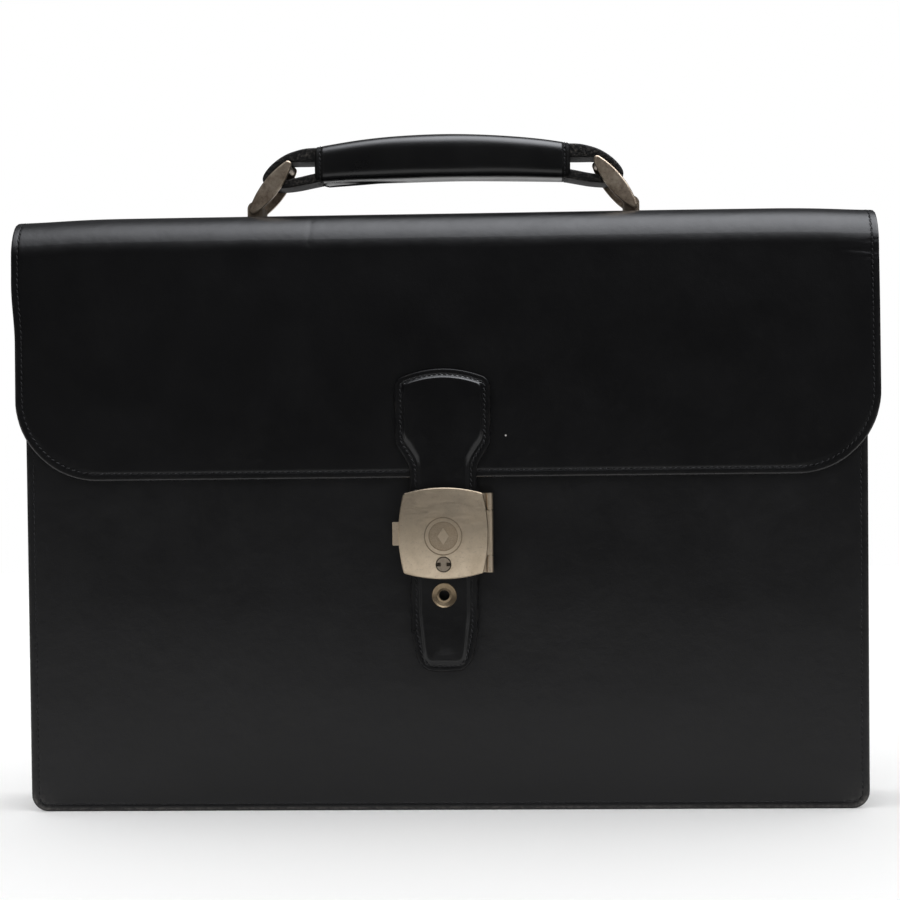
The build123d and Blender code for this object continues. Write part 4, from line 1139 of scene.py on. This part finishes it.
# outside and inside of a loop as (X, Z), from the top of the grip's end round to its foot
LOOP_OUT = [(58, 313.6), (65.2, 313.3), (69.9, 312.3), (74.1, 310.9), (77.8, 308.9), (81.4, 306.2),
            (84.0, 303.5), (85.7, 301.0), (86.3, 298.8), (85.5, 296.5), (82.8, 294.9), (79.0, 294.3),
            (74.5, 294.5), (69.5, 295.1), (64.8, 296.0), (58, 297.3)]
LOOP_IN = [(58, 306.9), (66, 306.8), (71, 306.8), (75.5, 306.5), (78.6, 304.8), (81.0, 302.2),
           (82.5, 299.9), (82.6, 298.6), (81.2, 298.0), (78.0, 298.1), (73.5, 298.7), (68.5, 299.6),
           (64, 300.6), (58, 301.8)]
LOOP_ROUND = 0.9          # edges of the loops' band


def handle_loop(side, name):
    """One end loop of the handle strap: a thick folded band with rubbed edges."""
    stations = 64
    outer, inner = through(LOOP_OUT, stations), through(LOOP_IN, stations)
    half = high("handle_strap")[1] - HANDLE_Y
    square = half - LOOP_ROUND
    quarter = np.linspace(0, math.pi / 2, 5)
    flat = np.linspace(-square, square, 9)
    verts = []
    for i, (o, n) in enumerate(zip(outer, inner)):
        deep = np.linalg.norm(o - n)
        turned = [(LOOP_ROUND * (1 - math.cos(a)), square + LOOP_ROUND * math.sin(a)) for a in quarter]
        edge = turned[1:]
        for v in np.linspace(LOOP_ROUND, deep - LOOP_ROUND, 6)[1:-1]:
            edge.append((v, half + 0.10 * math.sin(i * 0.9 + 5 * v)))
        edge += [(deep - v, y) for v, y in turned[:0:-1]]
        section = [(0.0, y) for y in flat] + edge + [(deep, y) for y in flat[::-1]]
        section += [(v, -y) for v, y in edge[::-1]]
        inward = (n - o) / deep
        for v, y in section:
            place = o + inward * v
            verts.append((side * place[0], HANDLE_Y + y, place[1]))
    around, upper = len(section), len(flat) + len(edge)
    edge_of = [len(flat) <= k < upper - 1 or k >= upper + len(flat) - 1 for k in range(around)]
    faces = tube_faces(stations, around, side > 0)
    mats = [int(edge_of[k]) for _ in range(stations - 1) for k in range(around)]
    for base, flip in ((0, side < 0), ((stations - 1) * around, side > 0)):
        ring = list(range(base, base + around))
        faces.append(ring[::-1] if flip else ring)
        mats.append(1)
    made = mesh_object(name, verts, faces, [CALF_LOOP, RUBBED], mats, np.full(len(verts), 0.25))
    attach(made, "handle")
    return made


# ---- metal parts: CAD shapes with their finishes ----
def finish_cad():
    """Gives every CAD node that is still shown its material."""
    finishes = {
        "nickel": NICKEL, "old_nickel": OLD_NICKEL, "brass": BRASS, "cork": FILLER, "board": FILLER,
        "leather": CALF, "inner_leather": INNER, "lining": SUEDE,
    }
    slots = {part["node"]: part["material_slot"] for part in frame["record"]["subparts"]}
    for node, piece in frame["nodes"].items():
        piece.data.materials.clear()
        own = {"clasp_cover": COVER, "key_cylinder": KEY, "clasp_base": HINGE}
        piece.data.materials.append(own.get(node, finishes[slots[node]]))


# ---- stage ----
WHITE, COOL = rgb(1.0, 1.0, 1.0), rgb(0.93, 0.95, 1.0)
FILL = 1.2                                # light that the world gives to matt surfaces
# ramps as (from, to, value there, value there)
ROOM_HEIGHT = (0.25, 0.85, 0.03, 0.15)    # reflections: the room, brighter overhead
ROOM_BACK = (-0.5, 0.6, 0.0, 0.05)        # and a little brighter behind
SOFTBOX = (0.743, 0.985, 0.0, 9.3)        # and the softbox, by the cosine from its middle
SOFTBOX_WAY = (0.25, -0.27, 0.93)
FLOOR = (-1600, 1600, -620, 2200)         # from X to X and from Y to Y
CAMERA = {"focal": 1994.0, "place": (42.2, -953.7, 158.4), "yaw": 2.41, "pitch": -0.58, "roll": 0.63}
PICTURE, SENSOR = 900, 36.0               # picture width, which focal is a part of, and sensor width


def studio_world():
    """White background and floor light. Reflections see a dark room that is brighter overhead."""
    world = bpy.data.worlds.new("studio")
    bpy.context.scene.world = world
    world.use_nodes = True
    tree = world.node_tree
    tree.nodes.clear()

    def node(kind, *values, **settings):
        made = tree.nodes.new(kind)
        for key, value in settings.items():
            setattr(made, key, value)
        for socket, value in zip(made.inputs, values):
            if isinstance(value, bpy.types.NodeSocket):
                tree.links.new(value, socket)
            elif value is not None:
                socket.default_value = value
        return made

    def ramp(value, limits):
        return node("ShaderNodeMapRange", value, *limits, interpolation_type="SMOOTHSTEP").outputs[0]

    way = node("ShaderNodeTexCoord").outputs["Generated"]
    axes = node("ShaderNodeSeparateXYZ", way)
    toward = node("ShaderNodeVectorMath", way, SOFTBOX_WAY, operation="DOT_PRODUCT").outputs["Value"]
    room = ramp(axes.outputs[2], ROOM_HEIGHT)
    for part in (ramp(axes.outputs[1], ROOM_BACK), ramp(toward, SOFTBOX)):
        room = node("ShaderNodeMath", room, part, operation="ADD").outputs[0]
    rays = node("ShaderNodeLightPath")
    seen = node("ShaderNodeBackground", WHITE, 1.0).outputs[0]
    filled = node("ShaderNodeBackground", WHITE, FILL).outputs[0]
    reflected = node("ShaderNodeBackground", COOL, room).outputs[0]
    lit = node("ShaderNodeMixShader", rays.outputs["Is Glossy Ray"], filled, reflected).outputs[0]
    mixed = node("ShaderNodeMixShader", rays.outputs["Is Camera Ray"], lit, seen).outputs[0]
    node("ShaderNodeOutputWorld", mixed)


def stage():
    """Pale floor, soft studio lights, background and camera."""
    x0, x1, y0, y1 = FLOOR
    floor = mesh_object("floor", [(x0, y0, 0), (x1, y0, 0), (x1, y1, 0), (x0, y1, 0)], [(0, 1, 2, 3)], [])
    n = Nodes("floor_paper")
    n.shader.inputs["Roughness"].default_value = 0.95
    n.shader.inputs["Specular IOR Level"].default_value = 0.05
    colour = n.mix(n.remap(n.noise(3, 3.0), 0.3, 0.7, 0, 1), rgb(0.92, 0.92, 0.92), rgb(0.94, 0.94, 0.94))
    floor.data.materials.append(n.finish(Base_Color=colour))
    studio_world()
    camera = bpy.data.cameras.new("camera")
    camera.sensor_width = SENSOR
    camera.lens = CAMERA["focal"] / PICTURE * SENSOR
    camera.clip_end = 30
    holder = bpy.data.objects.new("camera", camera)
    yaw, pitch, roll = (math.radians(CAMERA[k]) for k in ("yaw", "pitch", "roll"))
    right = Vector((math.cos(yaw), math.sin(yaw), 0))
    ahead = Vector((-math.sin(yaw) * math.cos(pitch), math.cos(yaw) * math.cos(pitch), -math.sin(pitch)))
    up = right.cross(ahead)
    turned_right = right * math.cos(roll) - up * math.sin(roll)
    turned_up = right * math.sin(roll) + up * math.cos(roll)
    axes = Matrix((turned_right, turned_up, -ahead)).transposed()
    holder.matrix_world = Matrix.Translation(Vector(CAMERA["place"]) * MM) @ axes.to_4x4()
    bpy.context.scene.collection.objects.link(holder)
    bpy.context.scene.camera = holder
    bpy.context.scene.view_settings.view_transform = "Standard"


finish_cad()
skin_front()
skin_back()
front_panel()
gusset()
linings()
divider_and_pocket()
floor_lining()
spine_lining()
closure_strap()
grip()
loop_right = handle_loop(1, "handle_loop_right")
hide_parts("handle_strap")
handle_loop(-1, "handle_loop_left")
stage()
